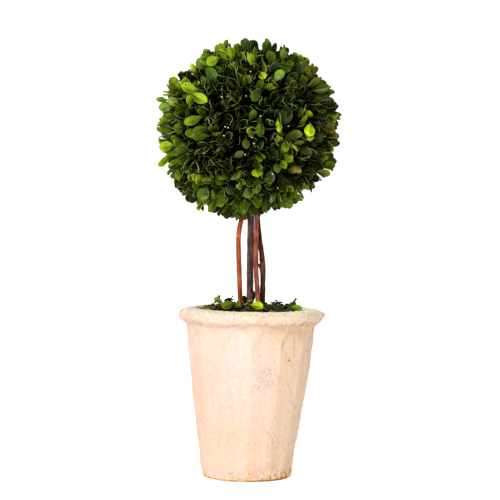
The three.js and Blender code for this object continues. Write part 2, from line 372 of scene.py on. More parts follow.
    bump = n.math("ADD", n.math("MULTIPLY", mottle, 0.6), n.math("MULTIPLY", grain, 0.35))
    bump = n.math("SUBTRACT", bump, n.math("MULTIPLY", n.ramp(pits, 0.60, 0.72), 0.5))
    bump = n.math("SUBTRACT", bump, n.math("MULTIPLY", hair, n.math("MULTIPLY", craze, 0.6)))
    normal = n.bump(bump, 0.6, 0.0010)
    rough = n.ramp(mottle, 0.3, 0.7, 0.78, 0.92)
    return n.finish(colour, rough, normal, specular=0.2)


def bark(name, base, dark, light, rough=0.55, streak=1.0, specular=0.2, rings=()):
    n = Nodes(name)
    long = n.noise(n.position(scale=(1, 1, 0.10)), 900, detail=5, rough=0.6)
    blotch = n.noise(n.position(scale=(1, 1, 0.5)), 130, detail=4, rough=0.55)
    ring = n.noise(n.position(scale=(0.6, 0.6, 2.2)), 420, detail=3)
    colour = n.mix(n.ramp(blotch, 0.35, 0.62), base, light)
    colour = n.mix(n.math("MULTIPLY", n.ramp(long, 0.5, 0.66), 0.85 * streak), colour, dark)
    colour = n.mix(n.ramp(ring, 0.62, 0.74, 0.0, 0.5), colour, light)
    z = n.axes(n.position())[2]
    for height, half in rings:
        near = n.ramp(n.math("ABSOLUTE", n.math("SUBTRACT", z, height)), half, half * 0.3)
        near = n.math("MULTIPLY", near, n.ramp(long, 0.42, 0.55))
        colour = n.mix(near, colour, tuple(min(1.0, v * 1.5 + 0.12) for v in light))
    height = n.math("ADD", n.math("MULTIPLY", long, 0.7), n.math("MULTIPLY", ring, 0.3))
    normal = n.bump(height, 0.5, 0.0004)
    return n.finish(colour, n.ramp(blotch, 0.3, 0.7, rough, rough + 0.2), normal, specular=specular)


def peat():
    n = Nodes("dark_filling")
    here = n.position()
    a = n.noise(here, 420, detail=5, rough=0.65)
    b = n.noise(here, 90, detail=3)
    colour = n.mix(n.ramp(a, 0.4, 0.66), (0.008, 0.009, 0.005), (0.035, 0.032, 0.012))
    colour = n.mix(n.ramp(b, 0.5, 0.66, 0.0, 0.8), colour, (0.020, 0.032, 0.006))
    return n.finish(colour, n.ramp(b, 0.3, 0.7, 0.8, 0.95), n.bump(a, 0.8, 0.001), specular=0.15)


# ------------------------------------------------------------------ pot
WALL = [
    (45.4, 0.0), (46.0, 0.5), (46.5, 1.7), (46.7, 3.6), (47.1, 7.0), (47.9, 11.5), (49.6, 26.0), (52.6, 45.0),
    (55.2, 64.0), (57.9, 82.0), (60.4, 100.0), (62.9, 118.0), (64.7, 133.0), (65.5, 141.0), (65.8, 149.0),
    (66.2, 154.5), (67.2, 158.2), (69.0, 160.4), (71.6, 162.0), (74.2, 163.6), (75.9, 165.9), (76.6, 168.3),
    (76.4, 170.3), (74.9, 172.0), (71.2, 173.6), (67.0, 174.7), (63.0, 175.3), (59.8, 175.6), (57.6, 175.3),
    (56.1, 174.2), (55.4, 172.2),
]
INSIDE = [(55.2, 170.0), (54.9, 164.0), (54.4, 156.0), (52.6, 120.0), (45.6, 60.0), (38.6, 16.0), (34.0, 10.0)]

# Marks of the making and of wear: angle, height, half-width across, half-height, depth (+ is hollow), all mm.
MARKS = [
    (-29.0, 158.0, 1.0, 0.9, 1.0),
    (8.5, 131.4, 0.9, 0.9, 0.9),
    (29.6, 145.5, 0.9, 3.4, 1.1),
    (28.8, 140.2, 1.3, 1.8, 0.8),
    (38.7, 125.8, 1.4, 1.2, 1.0),
    (34.9, 163.6, 1.6, 1.1, 1.1),
    (49.0, 163.4, 0.9, 0.8, 0.9),
    (55.8, 162.8, 0.9, 0.8, 0.9),
    (-16.5, 161.4, 3.8, 0.9, 0.9),
    (-9.5, 161.8, 3.0, 0.8, -0.7),
    (22.8, 162.6, 2.0, 1.0, -0.8),
    (22.8, 162.9, 0.8, 0.5, 0.9),
    (29.7, 39.6, 0.6, 3.4, 0.7),
    (-35.0, 41.5, 0.8, 3.0, 0.6),
    (-32.6, 36.0, 0.7, 2.6, -0.5),
    (-31.2, 31.0, 0.8, 2.6, 0.6),
    (2.4, 97.5, 1.0, 3.2, 0.6),
]
# Drips of slip: angle, top, low end, half-width, how far they stand out.
DRIPS = [
    (63.0, 158, 118, 1.3, 1.1), (70.0, 156, 104, 1.1, 1.0), (77.0, 158, 126, 1.4, 1.2), (55.0, 156, 122, 1.0, 0.8), (47.0, 157, 140, 0.9, 0.6),
    (-66.0, 157, 132, 1.2, 0.6), (-74.0, 156, 120, 1.2, 0.6), (104.0, 157, 110, 1.3, 0.7), (150.0, 158, 120, 1.2, 0.7),
    (-120.0, 157, 108, 1.3, 0.7), (-160.0, 157, 130, 1.2, 0.6),
]
# Raised or scratched lines: from (angle, height) to (angle, height), half-width mm, depth.
LINES = [
    ((20.8, 56.8), (34.5, 42.5), 0.9, -0.9),
    ((19.6, 54.6), (31.0, 42.5), 0.8, 0.7),
    ((44.1, 79.9), (61.1, 69.6), 1.0, -0.8),
    ((45.0, 84.0), (60.0, 74.5), 0.8, 0.6),
    ((39.0, 104.0), (50.0, 88.0), 0.8, 0.5),
    ((6.5, 100.5), (1.0, 90.0), 0.8, 0.6),
    ((9.0, 103.0), (4.5, 93.0), 0.8, -0.6),
    ((33.5, 137.0), (37.5, 114.0), 0.8, 0.5),
    ((43.0, 150.0), (45.5, 127.0), 0.8, 0.5),
    ((-35.6, 44.0), (-33.4, 30.0), 0.8, 0.6),
    ((-33.2, 45.0), (-30.6, 31.0), 0.8, -0.6),
    ((32.5, 158.0), (27.0, 139.0), 1.1, -0.35),
    ((27.0, 139.0), (24.5, 118.0), 1.0, -0.2),
]


# Rusty stains and patches of thicker wash: angle, height, half-width, half-height, strength.
STAINS = [
    (-29.0, 158.0, 1.4, 1.2, 0.75), (8.5, 131.4, 1.1, 1.1, 0.8), (29.4, 144.0, 1.8, 4.4, 0.95), (28.6, 138.0, 2.4, 3.6, 0.5),
    (38.7, 125.8, 2.2, 1.8, 1.0), (36.0, 131.0, 9.0, 8.0, 0.30), (41.0, 123.0, 6.0, 5.0, 0.36), (34.0, 139.0, 4.0, 3.0, 0.34),
    (34.9, 163.8, 2.9, 1.7, 1.1), (49.0, 163.6, 1.5, 1.3, 1.15), (55.8, 163.0, 1.6, 1.3, 1.15), (-16.5, 161.6, 3.6, 0.8, 0.7),
    (-10.0, 163.4, 3.0, 0.8, 0.6), (-3.0, 166.5, 2.2, 0.6, 0.5), (-21.0, 166.0, 3.0, 0.7, 0.45), (20.2, 163.0, 1.0, 1.3, 0.85), (25.0, 163.2, 1.0, 1.3, 0.85), (22.6, 161.5, 2.4, 0.7, 0.8), (22.6, 164.9, 2.2, 0.6, 0.6),
    (29.7, 39.6, 0.8, 2.4, 0.5), (-33.0, 36.5, 0.8, 6.0, 0.4), (2.4, 97.0, 1.0, 3.0, 0.5), (24.0, 112.0, 1.2, 1.2, 0.5),
    (5.0, 111.0, 0.9, 1.2, 0.45), (13.0, 116.5, 1.0, 0.9, 0.5), (66.0, 140.0, 1.2, 12.0, 0.5), (73.0, 128.0, 1.1, 14.0, 0.45),
    (60.0, 110.0, 2.0, 6.0, 0.22), (-84.0, 20.0, 2.0, 6.0, 0.4), (78.0, 66.0, 1.6, 9.0, 0.35), (52.0, 84.0, 0.9, 2.0, 0.45),
]
# Rusty bands down the wall: angle, half-width, low end, high end, strength.
BANDS = [
    (62.0, 1.4, 96, 158, 0.34), (70.0, 1.5, 60, 158, 0.40), (77.0, 2.0, 20, 158, 0.42), (85.0, 2.6, 8, 150, 0.46),
    (-70.0, 1.6, 30, 120, 0.22), (-80.0, 2.6, 8, 150, 0.42), (-88.0, 2.4, 60, 158, 0.36), (38.0, 1.6, 20, 90, 0.16),
    (112.0, 2.2, 40, 158, 0.34), (139.0, 1.8, 8, 120, 0.30), (168.0, 2.6, 70, 158, 0.32), (-164.0, 1.8, 10, 100, 0.28),
    (-133.0, 2.4, 50, 158, 0.34), (-107.0, 2.0, 8, 90, 0.32), (24.0, 1.2, 30, 80, 0.12),
]
WASHES = [
    (-9.0, 148.0, 10.0, 9.0, 0.9), (-9.0, 120.0, 13.0, 26.0, 0.75), (-8.0, 80.0, 12.0, 22.0, 0.4), (12.0, 112.0, 7.0, 6.0, 0.35),
    (54.0, 80.0, 6.0, 5.0, 0.6), (34.0, 52.0, 4.0, 6.0, 0.5), (-45.0, 140.0, 10.0, 9.0, 0.35), (130.0, 120.0, 14.0, 26.0, 0.5),
    (-130.0, 100.0, 12.0, 30.0, 0.5), (180.0, 70.0, 14.0, 24.0, 0.4),
]


def flute_hollow(angle, z):
    """How far the wall is hollowed, 0 on a rib and 1 in the middle of a flute."""
    turn = (angle - FLUTE_PHASE) / 360.0 * FLUTES
    which = np.floor(turn).astype(int) % FLUTES
    draw = np.random.default_rng(71)
    top = ARCH_TOP + draw.uniform(-2.5, 2.0, FLUTES)[which]
    spring = ARCH_SPRING + draw.uniform(-5, 3, FLUTES)[which]
    deep = draw.uniform(0.75, 1.15, FLUTES)[which]
    lean = draw.uniform(-0.10, 0.10, FLUTES)[which]
    across = 2 * (turn - np.floor(turn)) - 1 + lean * smooth(ARCH_SPRING, ARCH_TOP, z)
    t = np.clip((z - spring) / (top - spring), 0, 1)
    half = np.where(z < spring, 1.0, np.sqrt(np.maximum(0, 1 - t**1.8)) * (1 - 0.2 * t))
    inside = 1 - np.abs(across) / np.maximum(half, 1e-3)
    crisp = smooth(spring - 30, spring + 6, z)
    soft = smooth(-0.15, 0.85, inside) * 0.9 + smooth(-0.10, 0.25, inside) * 0.1
    sharp = smooth(0.0, 0.55, inside) * 0.35 + smooth(-0.01, 0.12, inside) * 0.65
    return (soft + (sharp - soft) * crisp) * deep * smooth(3, 26, z) * smooth(0.0, 0.12, half)


def make_pot():
    cols = 400
    wall = spline(WALL, 1.0)
    inside = spline([WALL[-1]] + INSIDE, 6.0)[1:]
    foot = np.array([[r, 0.0] for r in (8, 20, 31, 39, 42)])
    ring = np.vstack([foot, wall, inside])
    rows = len(ring)
    along = np.gradient(ring, axis=0)
    along /= np.linalg.norm(along, axis=1)[:, None]
    out = np.stack([along[:, 1], -along[:, 0]], axis=1)
    outer = np.zeros(rows)
    outer[len(foot) : len(foot) + len(wall)] = 1
    outer[len(foot)] = 0
    angle = np.arange(cols) * 360.0 / cols
    a = np.radians(angle)[None, :] * np.ones((rows, 1))
    r = ring[:, 0][:, None] * np.ones((1, cols))
    z = ring[:, 1][:, None] * np.ones((1, cols))
    flat = lambda m: m.ravel()
    place = np.stack([flat(r * np.sin(a)), flat(-r * np.cos(a)), flat(z)], axis=1)
    signed = (np.degrees(flat(a)) + 180) % 360 - 180
    zz = flat(z)
    on_wall = flat(outer[:, None] * np.ones((1, cols)))
    side = on_wall * smooth(160.5, 157.0, zz) * smooth(1.0, 4.0, zz)

    d = -FLUTE_DEPTH * flute_hollow(signed, zz) * side
    # The wall was thrown a little fuller than true, and more to the left under the lip.
    fuller = 1.35 - 0.75 * smooth(120, 141, zz) - 0.3 * smooth(50, 30, zz)
    fuller -= (0.2 + 0.3 * smooth(50, 30, zz) + 0.9 * smooth(112, 138, zz)) * np.sin(flat(a))
    d += on_wall * fuller * smooth(2, 16, zz) * smooth(160.5, 154, zz)
    # The thrower's hand: broad waves, streaks down the wall and a fine tooth.
    body = on_wall * smooth(0.5, 4, zz)
    d += body * 0.50 * fbm(place / 27, 3, 3)
    d += side * 0.17 * noise(np.stack([signed / 3.2, zz / 46, zz * 0], axis=1), 9)
    d += body * (0.15 * fbm(place / 5.5, 21, 3) + 0.07 * noise(place / 2.2, 31))
    grit = np.maximum(0, noise(place / 2.4, 33) - 0.25) * smooth(-0.05, 0.35, noise(place / 17, 35))
    d -= body * 0.45 * grit
    broad = d.copy()
    # The lip was pressed on by hand, so it is rougher, with a lumpy lower edge.
    lip = on_wall * smooth(158.5, 162.5, zz)
    ends = 0.5 + 0.5 * smooth(30, 65, np.abs(signed))
    d += lip * (0.55 * fbm(place / 9, 41, 3) + 0.26 * noise(place / 2.8, 43) + 0.22 * noise(place / 1.9, 44)) * ends
    pocks = np.maximum(0, noise(place / 2.2, 45) - 0.30) * smooth(-0.2, 0.3, noise(place / 12, 46))
    d -= lip * 1.3 * pocks
    creases = np.exp(-((noise(place / 6.0, 48) / 0.07) ** 2)) * smooth(-0.1, 0.35, noise(place / 15, 50))
    d -= lip * 0.45 * creases
    seam = on_wall * np.exp(-(((zz - 160.6 - 1.3 * noise(np.stack([signed / 9, zz * 0, zz * 0], axis=1), 47)) / 1.5) ** 2))
    d += seam * (0.25 + 0.75 * noise(np.stack([signed / 4.5, zz / 6, zz * 0], axis=1), 49))
    # A rough, plucked patch on the front and another on the left end of the lip.
    rough = np.exp(-(((signed - 14) / 13) ** 2) - ((zz - 108) / 12) ** 2)
    worms = np.exp(-((noise(place / 5.5, 51) / 0.13) ** 2))
    d += side * rough * (0.75 * worms - 0.75 * np.maximum(0, noise(place / 2.6, 52)))
    # Plucked and dribbled clay down the two edges of the front and round the back.
    rim_side = smooth(44, 62, np.abs(signed)) * (0.45 + 0.55 * smooth(20, 60, signed)) * smooth(4, 40, zz)
    lumps = noise(np.stack([signed / 2.6, zz / 5.0, zz * 0], axis=1), 56)
    d += side * rim_side * (0.55 * np.maximum(0, lumps - 0.1) - 0.35 * np.maximum(0, -lumps - 0.25))
    rough = np.exp(-(((signed + 58) / 13) ** 2) - ((zz - 169.5) / 4.5) ** 2)
    d -= on_wall * rough * 0.8 * np.maximum(0, noise(place / 2.0, 53))
    # Drips of slip down the right of the wall.
    for at, top, low, wide, raised in DRIPS:
        wander = at + 1.2 * noise(np.stack([zz / 14, zz * 0 + at, zz * 0], axis=1), 57)
        across = (signed - wander) * math.pi / 180 * 64
        run = smooth(low - 5, low + 5, zz) * smooth(top + 2, top - 4, zz)
        d += side * raised * run * np.exp(-((across / wide) ** 2))
    # Chips along the foot.
    chips = on_wall * smooth(10, 3.0, zz) * smooth(0.0, 1.2, zz)
    d -= chips * 0.9 * np.maximum(0, noise(place / 3.4, 61) - 0.15)
    for at, height, wide, tall, deep in MARKS:
        across = ((signed - at + 180) % 360 - 180) * math.pi / 180 * 65
        d -= on_wall * deep * np.exp(-((across / wide) ** 2) - ((zz - height) / tall) ** 2)
    for (a0, z0), (a1, z1), wide, deep in LINES:
        k = math.pi / 180 * 62
        p = np.stack([signed * k, zz], axis=1)
        start, end = np.array([a0 * k, z0]), np.array([a1 * k, z1])
        way = end - start
        t = np.clip(((p - start) @ way) / (way @ way), 0, 1)
        gap = np.linalg.norm(p - start - t[:, None] * way, axis=1)
        fade = smooth(0, 0.15, t) * smooth(1, 0.85, t)
        d -= on_wall * deep * fade * np.exp(-((gap / wide) ** 2))
    # Small pits scattered over the wall.
    draw = np.random.default_rng(5)
    for _ in range(90):
        at, height = draw.uniform(-180, 180), draw.uniform(8, 172)
        wide, deep = draw.uniform(0.6, 1.1), draw.uniform(0.15, 0.45)
        near = (np.abs(zz - height) < 4) & (np.abs((signed - at + 180) % 360 - 180) < 5)
        across = ((signed[near] - at + 180) % 360 - 180) * math.pi / 180 * 60
        d[near] -= on_wall[near] * deep * np.exp(-((across / wide) ** 2) - ((zz[near] - height) / wide) ** 2)

    nr, nz = flat(out[:, 0][:, None] * np.ones((1, cols))), flat(out[:, 1][:, None] * np.ones((1, cols)))
    # The lip sags and swells a little on its way round.
    wave = noise(np.stack([2.2 * np.sin(flat(a)), 2.2 * np.cos(flat(a)), zz * 0], axis=1), 77)
    wave2 = noise(np.stack([5.5 * np.sin(flat(a)), 5.5 * np.cos(flat(a)), zz * 0], axis=1), 79)
    lift = on_wall * smooth(150, 161, zz) * smooth(175.0, 168, zz) * (0.9 * wave + 0.5 * wave2)
    rad = flat(r) + nr * d + lip * (0.7 * wave2 - 0.3 * wave) * smooth(176, 171, zz)
    # The foot was pressed out a little at the front right, where it stood while it was wet.
    rad += 3.4 * np.exp(-(((signed - 44) / 27) ** 2)) * smooth(13, 1.0, zz) * np.where(flat(r) > 44, 1.0, 0.0)
    high = zz + nz * d + lift
    high = np.where(zz <= 0.01, 0.0, np.clip(high, 0.02, 177.4))
    lean = POT_LEAN * high / POT_LEAN_HEIGHT - 1.6 * smooth(77.0, 66.0, rad) * smooth(168, 174, high)
    high = high - LIP_DROP * rad * np.sin(flat(a)) / 76 * smooth(60, 165, high)
    verts = np.stack([rad * np.sin(flat(a)) + lean, -rad * np.cos(flat(a)), high], axis=1)
    quads = grid_faces(rows, cols, True)
    centre_low, centre_in = len(verts), len(verts) + 1
    verts = np.vstack([verts, [[0, 0, 0.0]], [[POT_LEAN * 10 / POT_LEAN_HEIGHT, 0, 10.0]]])
    c = np.arange(cols)
    n = (c + 1) % cols
    last = (rows - 1) * cols
    fans = np.vstack(
        [
            np.stack([np.full(cols, centre_low), n, c], axis=1),
            np.stack([np.full(cols, centre_in), last + c, last + n], axis=1),
        ]
    )
    ob = make_mesh("pot_body", verts, [quads, fans], [terracotta()])
    stain_and_shade, pale, craze = pot_stains_and_shade(place, signed, zz, on_wall, d - broad)
    for label, values in (("stain_and_shade", stain_and_shade), ("pale", pale), ("craze", craze)):
        layer = ob.data.attributes.new(label, "FLOAT", "POINT")
        layer.data.foreach_set("value", np.concatenate([values, [0, 0]]).astype(np.float32))
    return ob


def pot_stains_and_shade(place, angle, z, on_wall, relief):
    """How rusty, how thickly limewashed and how crazed the clay is at each point, from 0 to 1; the rust mask also holds
    painted shade in the dents and along the foot's bottom edge, and the limewash mask painted highlight on the bumps
    and raised lines.
    """
    stain_and_shade = np.zeros(len(z))
    pale = np.zeros(len(z))
    k = math.pi / 180 * 63

    def spot(at, height, wide, tall, much):
        across = ((angle - at + 180) % 360 - 180) * k
        return much * np.exp(-((across / wide) ** 2) - ((z - height) / tall) ** 2)

    fine = noise(place / 2.6, 101)
    coarse = noise(place / 9, 103)
    for at, height, wide, tall, much in STAINS:
        stain_and_shade = np.maximum(stain_and_shade, spot(at, height, wide, tall, much) * (0.75 + 0.45 * fine))
    for at, height, wide, tall, much in WASHES:
        pale = np.maximum(pale, spot(at, height, wide, tall, much) * (0.9 + 0.25 * coarse))
    # Raised lines are paler and scratched ones browner, partly wash and dirt and partly painted highlight and painted
    # shade.
    for (a0, z0), (a1, z1), wide, deep in LINES:
        start, end = np.array([a0 * k, z0]), np.array([a1 * k, z1])
        way = end - start
        p = np.stack([angle * k, z], axis=1) - start
        t = np.clip((p @ way) / (way @ way), 0, 1)
        near = np.exp(-((np.linalg.norm(p - t[:, None] * way, axis=1) / (wide * 1.15)) ** 2)) * (0.8 + 0.4 * fine)
        if deep < 0:
            pale = np.maximum(pale, 1.1 * near * min(1.0, -deep * 1.3))
        else:
            stain_and_shade = np.maximum(stain_and_shade, 0.36 * near)
    for at, top, low, wide, raised in DRIPS:
        wander = at + 1.2 * noise(np.stack([z / 14, z * 0 + at, z * 0], axis=1), 57)
        across = np.abs(((angle - wander + 180) % 360 - 180) * k)
        run = smooth(low - 5, low + 5, z) * smooth(top + 2, top - 4, z)
        stain_and_shade = np.maximum(stain_and_shade, 0.40 * run * np.exp(-(((across - wide * 1.4) / 0.8) ** 2)) * (0.6 + 0.8 * coarse))
    # A broken brown line under the lip with darker dots along it, and flecks over the lip.
    flat = z * 0
    under = 160.6 + 1.3 * noise(np.stack([angle / 9, flat, flat], axis=1), 47)
    close = np.exp(-(((z - under) / 0.9) ** 2))
    line = close * smooth(-0.30, 0.35, noise(np.stack([angle / 6, flat, flat + 5], axis=1), 107))
    stain_and_shade = np.maximum(stain_and_shade, 0.52 * line * (0.6 + 0.6 * fine))
    dots = np.exp(-(((z - under - 1.0) / 1.5) ** 2)) * smooth(0.30, 0.50, noise(np.stack([angle / 2.1, z / 2.2, flat], axis=1), 108))
    stain_and_shade = np.maximum(stain_and_shade, 1.0 * dots * (0.42 + 0.62 * smooth(-10, 40, angle)))
    # The dents are darker, more so to the right, partly dirt and rust and partly painted shade, and the bumps are
    # paler, partly thick wash and partly painted highlight.
    stain_and_shade = np.maximum(stain_and_shade, smooth(0.10, 0.55, -relief) * (0.42 + 0.20 * fine) * (0.55 + 0.45 * smooth(-20, 40, angle)))
    stain_and_shade = np.maximum(stain_and_shade, smooth(40, 62, np.abs(angle)) * smooth(0.06, 0.30, -relief) * 0.42 * smooth(160, 150, z))
    pale = np.maximum(pale, smooth(0.10, 0.45, relief) * 0.55)
    flecks = smooth(0.36, 0.66, noise(place / 2.1, 109)) * smooth(160, 164, z)
    stain_and_shade = np.maximum(stain_and_shade, (0.34 + 0.12 * smooth(168, 173, z)) * flecks)
    # Worm-like marks where the wash has crazed: on the lip's ends and on the wall's rough patch.
    worms = np.exp(-((noise(place / 5.5, 51) / 0.10) ** 2))
    patch = np.exp(-(((angle - 16) / 17) ** 2) - ((z - 107) / 13) ** 2)
    ends = np.exp(-(((angle + 62) / 20) ** 2) - ((z - 169) / 5) ** 2)
    ends = np.maximum(ends, 0.8 * np.exp(-(((angle - 60) / 22) ** 2) - ((z - 168) / 5) ** 2))
    crazed = np.maximum(patch, ends)
    stain_and_shade = np.maximum(stain_and_shade, (0.38 + 0.22 * smooth(160, 166, z)) * crazed * np.exp(-((noise(place / 4.6, 55) / 0.08) ** 2)))
    pale = np.maximum(pale, 0.9 * crazed * worms)
    craze = np.maximum(np.maximum(0.42 * patch, ends), (0.38 + 0.2 * smooth(30, 60, np.abs(angle))) * smooth(160, 164, z))
    craze = np.maximum(craze, 0.42 * smooth(46, 66, np.abs(angle)) * smooth(-0.3, 0.3, coarse))
    craze = np.maximum(craze, 0.75 * smooth(22, 6, z) * (0.35 + 0.65 * smooth(-30, 30, angle)))
    # Vertical bands where damp has drawn rust through the wash.
    for at, wide, low, high, much in BANDS:
        wander = at + 1.5 * noise(np.stack([z / 20, flat + at, flat], axis=1), 121)
        across = ((angle - wander + 180) % 360 - 180) * k
        reach = smooth(low - 12, low + 8, z) * smooth(high + 8, high - 8, z)
        broken = smooth(-0.5, 0.5, noise(np.stack([angle / 3, z / 11, flat], axis=1), 123))
        stain_and_shade = np.maximum(stain_and_shade, much * reach * broken * np.exp(-((across / wide) ** 2)))
    # Inside each arch's point the wash is thick, and the shoulders between them are barer.
    arch = smooth(0.10, 0.55, flute_hollow(angle, z)) * smooth(112, 140, z) * smooth(160, 156, z)
    which = np.floor((angle - FLUTE_PHASE) / (360 / FLUTES)).astype(int) % FLUTES
    thick = np.random.default_rng(83).uniform(0.15, 0.75, FLUTES)
    thick[[FLUTES - 2, FLUTES - 1, 0, 1]] = (0.35, 0.85, 0.12, 0.10)
    pale = np.maximum(pale, arch * thick[which])
    bare = (1 - smooth(0.05, 0.35, flute_hollow(angle, z))) * smooth(126, 138, z) * smooth(161, 158, z)
    stain_and_shade = np.maximum(stain_and_shade, bare * (0.12 + 0.08 * coarse))
    # The foot is worn to ochre clay in patches, more to the right.
    rise = 4.5 + 3.5 * smooth(-60, 40, angle) * smooth(120, 70, angle) + 4.5 * noise(place / 7, 111) + 2.0 * noise(place / 2.5, 113)
    worn = smooth(rise + 4.5, rise - 3.5, z)
    stain_and_shade = np.maximum(stain_and_shade, worn * (0.22 + 0.48 * smooth(-20, 32, angle)) * (0.85 + 0.5 * fine))
    dots = smooth(0.42, 0.56, noise(place / 1.7, 115)) * smooth(rise + 8, rise - 1, z)
    stain_and_shade = np.maximum(stain_and_shade, dots * (0.38 + 0.62 * smooth(-30, 20, angle)))
    chips = smooth(0.28, 0.40, noise(place / 2.8, 117)) * smooth(rise + 12, rise, z)
    pale = np.maximum(pale, chips * 0.9)
    stain_and_shade = stain_and_shade * (1 - 0.85 * chips * smooth(2.0, 3.0, z))
    # A dark brown band along the foot's bottom edge, partly worn clay and partly painted contact shadow.
    stain_and_shade = np.maximum(stain_and_shade, (0.70 + 0.35 * fine + 0.35 * smooth(-10, 30, angle)) * smooth(3.0, 1.6, z))
    # Loose rusty dots here and there.
    dots = smooth(0.66, 0.82, noise(place / 2.0, 119)) * smooth(0.05, 0.45, coarse)
    stain_and_shade = np.maximum(stain_and_shade, 0.45 * dots)
    return np.clip(stain_and_shade, 0, 1) * on_wall, np.clip(pale, 0, 1) * on_wall, np.clip(craze, 0, 1) * on_wall


# ------------------------------------------------------------------ stems
def tube(path, radius_at, sides, spacing, relief=None, round_ends=True):
    """Vertices and faces of a closed bar along a path, whose radius is a function of the share of its length."""
    line = spline(path, spacing)
    n = len(line)
    ahead = np.gradient(line, axis=0)
    ahead /= np.linalg.norm(ahead, axis=1)[:, None]
    first = np.cross(ahead[0], [0, 1, 0])
    u = first / np.linalg.norm(first)
    frames = []
    for k in range(n):
        u = u - ahead[k] * (u @ ahead[k])
        u /= np.linalg.norm(u)
        frames.append((u.copy(), np.cross(ahead[k], u)))
    share = np.linspace(0, 1, n)
    a = np.arange(sides) * 2 * math.pi / sides
    ring = []
    for k in range(n):
        r = np.full(sides, radius_at(share[k]))
        ring.append(line[k] + np.outer(np.cos(a) * r, frames[k][0]) + np.outer(np.sin(a) * r, frames[k][1]))
    verts = np.concatenate(ring)
    centre = np.repeat(line, sides, axis=0)
    if relief is not None:
        away = verts - centre
        size = np.linalg.norm(away, axis=1)
        unit = away / size[:, None]
        around = np.tile(a, n)
        verts = centre + unit * (size + relief(verts, around, np.repeat(share, sides), centre))[:, None]
    quads = grid_faces(n, sides, True)
    low, high = len(verts), len(verts) + 1
    bulge = 0.35 if round_ends else 0.0
    verts = np.vstack([verts, line[0] - ahead[0] * radius_at(0) * bulge, line[-1] + ahead[-1] * radius_at(1) * bulge])
    c = np.arange(sides)
    m = (c + 1) % sides
    last = (n - 1) * sides
    caps = np.vstack(
        [np.stack([np.full(sides, low), m, c], axis=1), np.stack([np.full(sides, high), last + c, last + m], axis=1)]
    )
    return verts, quads, caps


def make_stem(name, material, seed, ridges, knots, stub=None):
    """A stem with its bark's ridges, nodes (height, size, half-height) and cut stub."""
    spec = STEMS[name]
    r0, r1 = spec["radii"]

    def relief(v, around, share, centre):
        p = np.stack([np.cos(around) * 2.6, np.sin(around) * 2.6, centre[:, 2] / 16], axis=1)
        d = 0.16 * ridges * fbm(p, seed, 3) + 0.07 * ridges * noise(v / np.array([0.8, 0.8, 5]), seed + 5)
        d += 0.10 * noise(np.stack([around * 0, around * 0, centre[:, 2] / 7], axis=1), seed + 9)
        for height, size, half, side in knots:
            d += size * np.exp(-(((centre[:, 2] - height) / half) ** 2)) * (0.55 + 0.45 * np.cos(around - side))
        return d

    verts, quads, caps = tube(spec["path"], lambda t: r0 + (r1 - r0) * t, 28, 0.8, relief)
    faces = [quads, caps]
    if stub:
        start, end, s0, s1 = stub
        rough = lambda v, around, share, centre: 0.14 * noise(v / 1.3, seed + 21) + 0.25 * smooth(0.35, 0.0, share)
        middle = (np.array(start) + np.array(end)) / 2 + [0.1, 0, -0.35]
        v, q, c = tube([start, tuple(middle), end], lambda t: s0 + (s1 - s0) * t, 16, 0.4, rough)
        faces += [q + len(verts), c + len(verts)]
        verts = np.vstack([verts, v])
    return make_mesh(name + "_bark", verts, faces, [material])


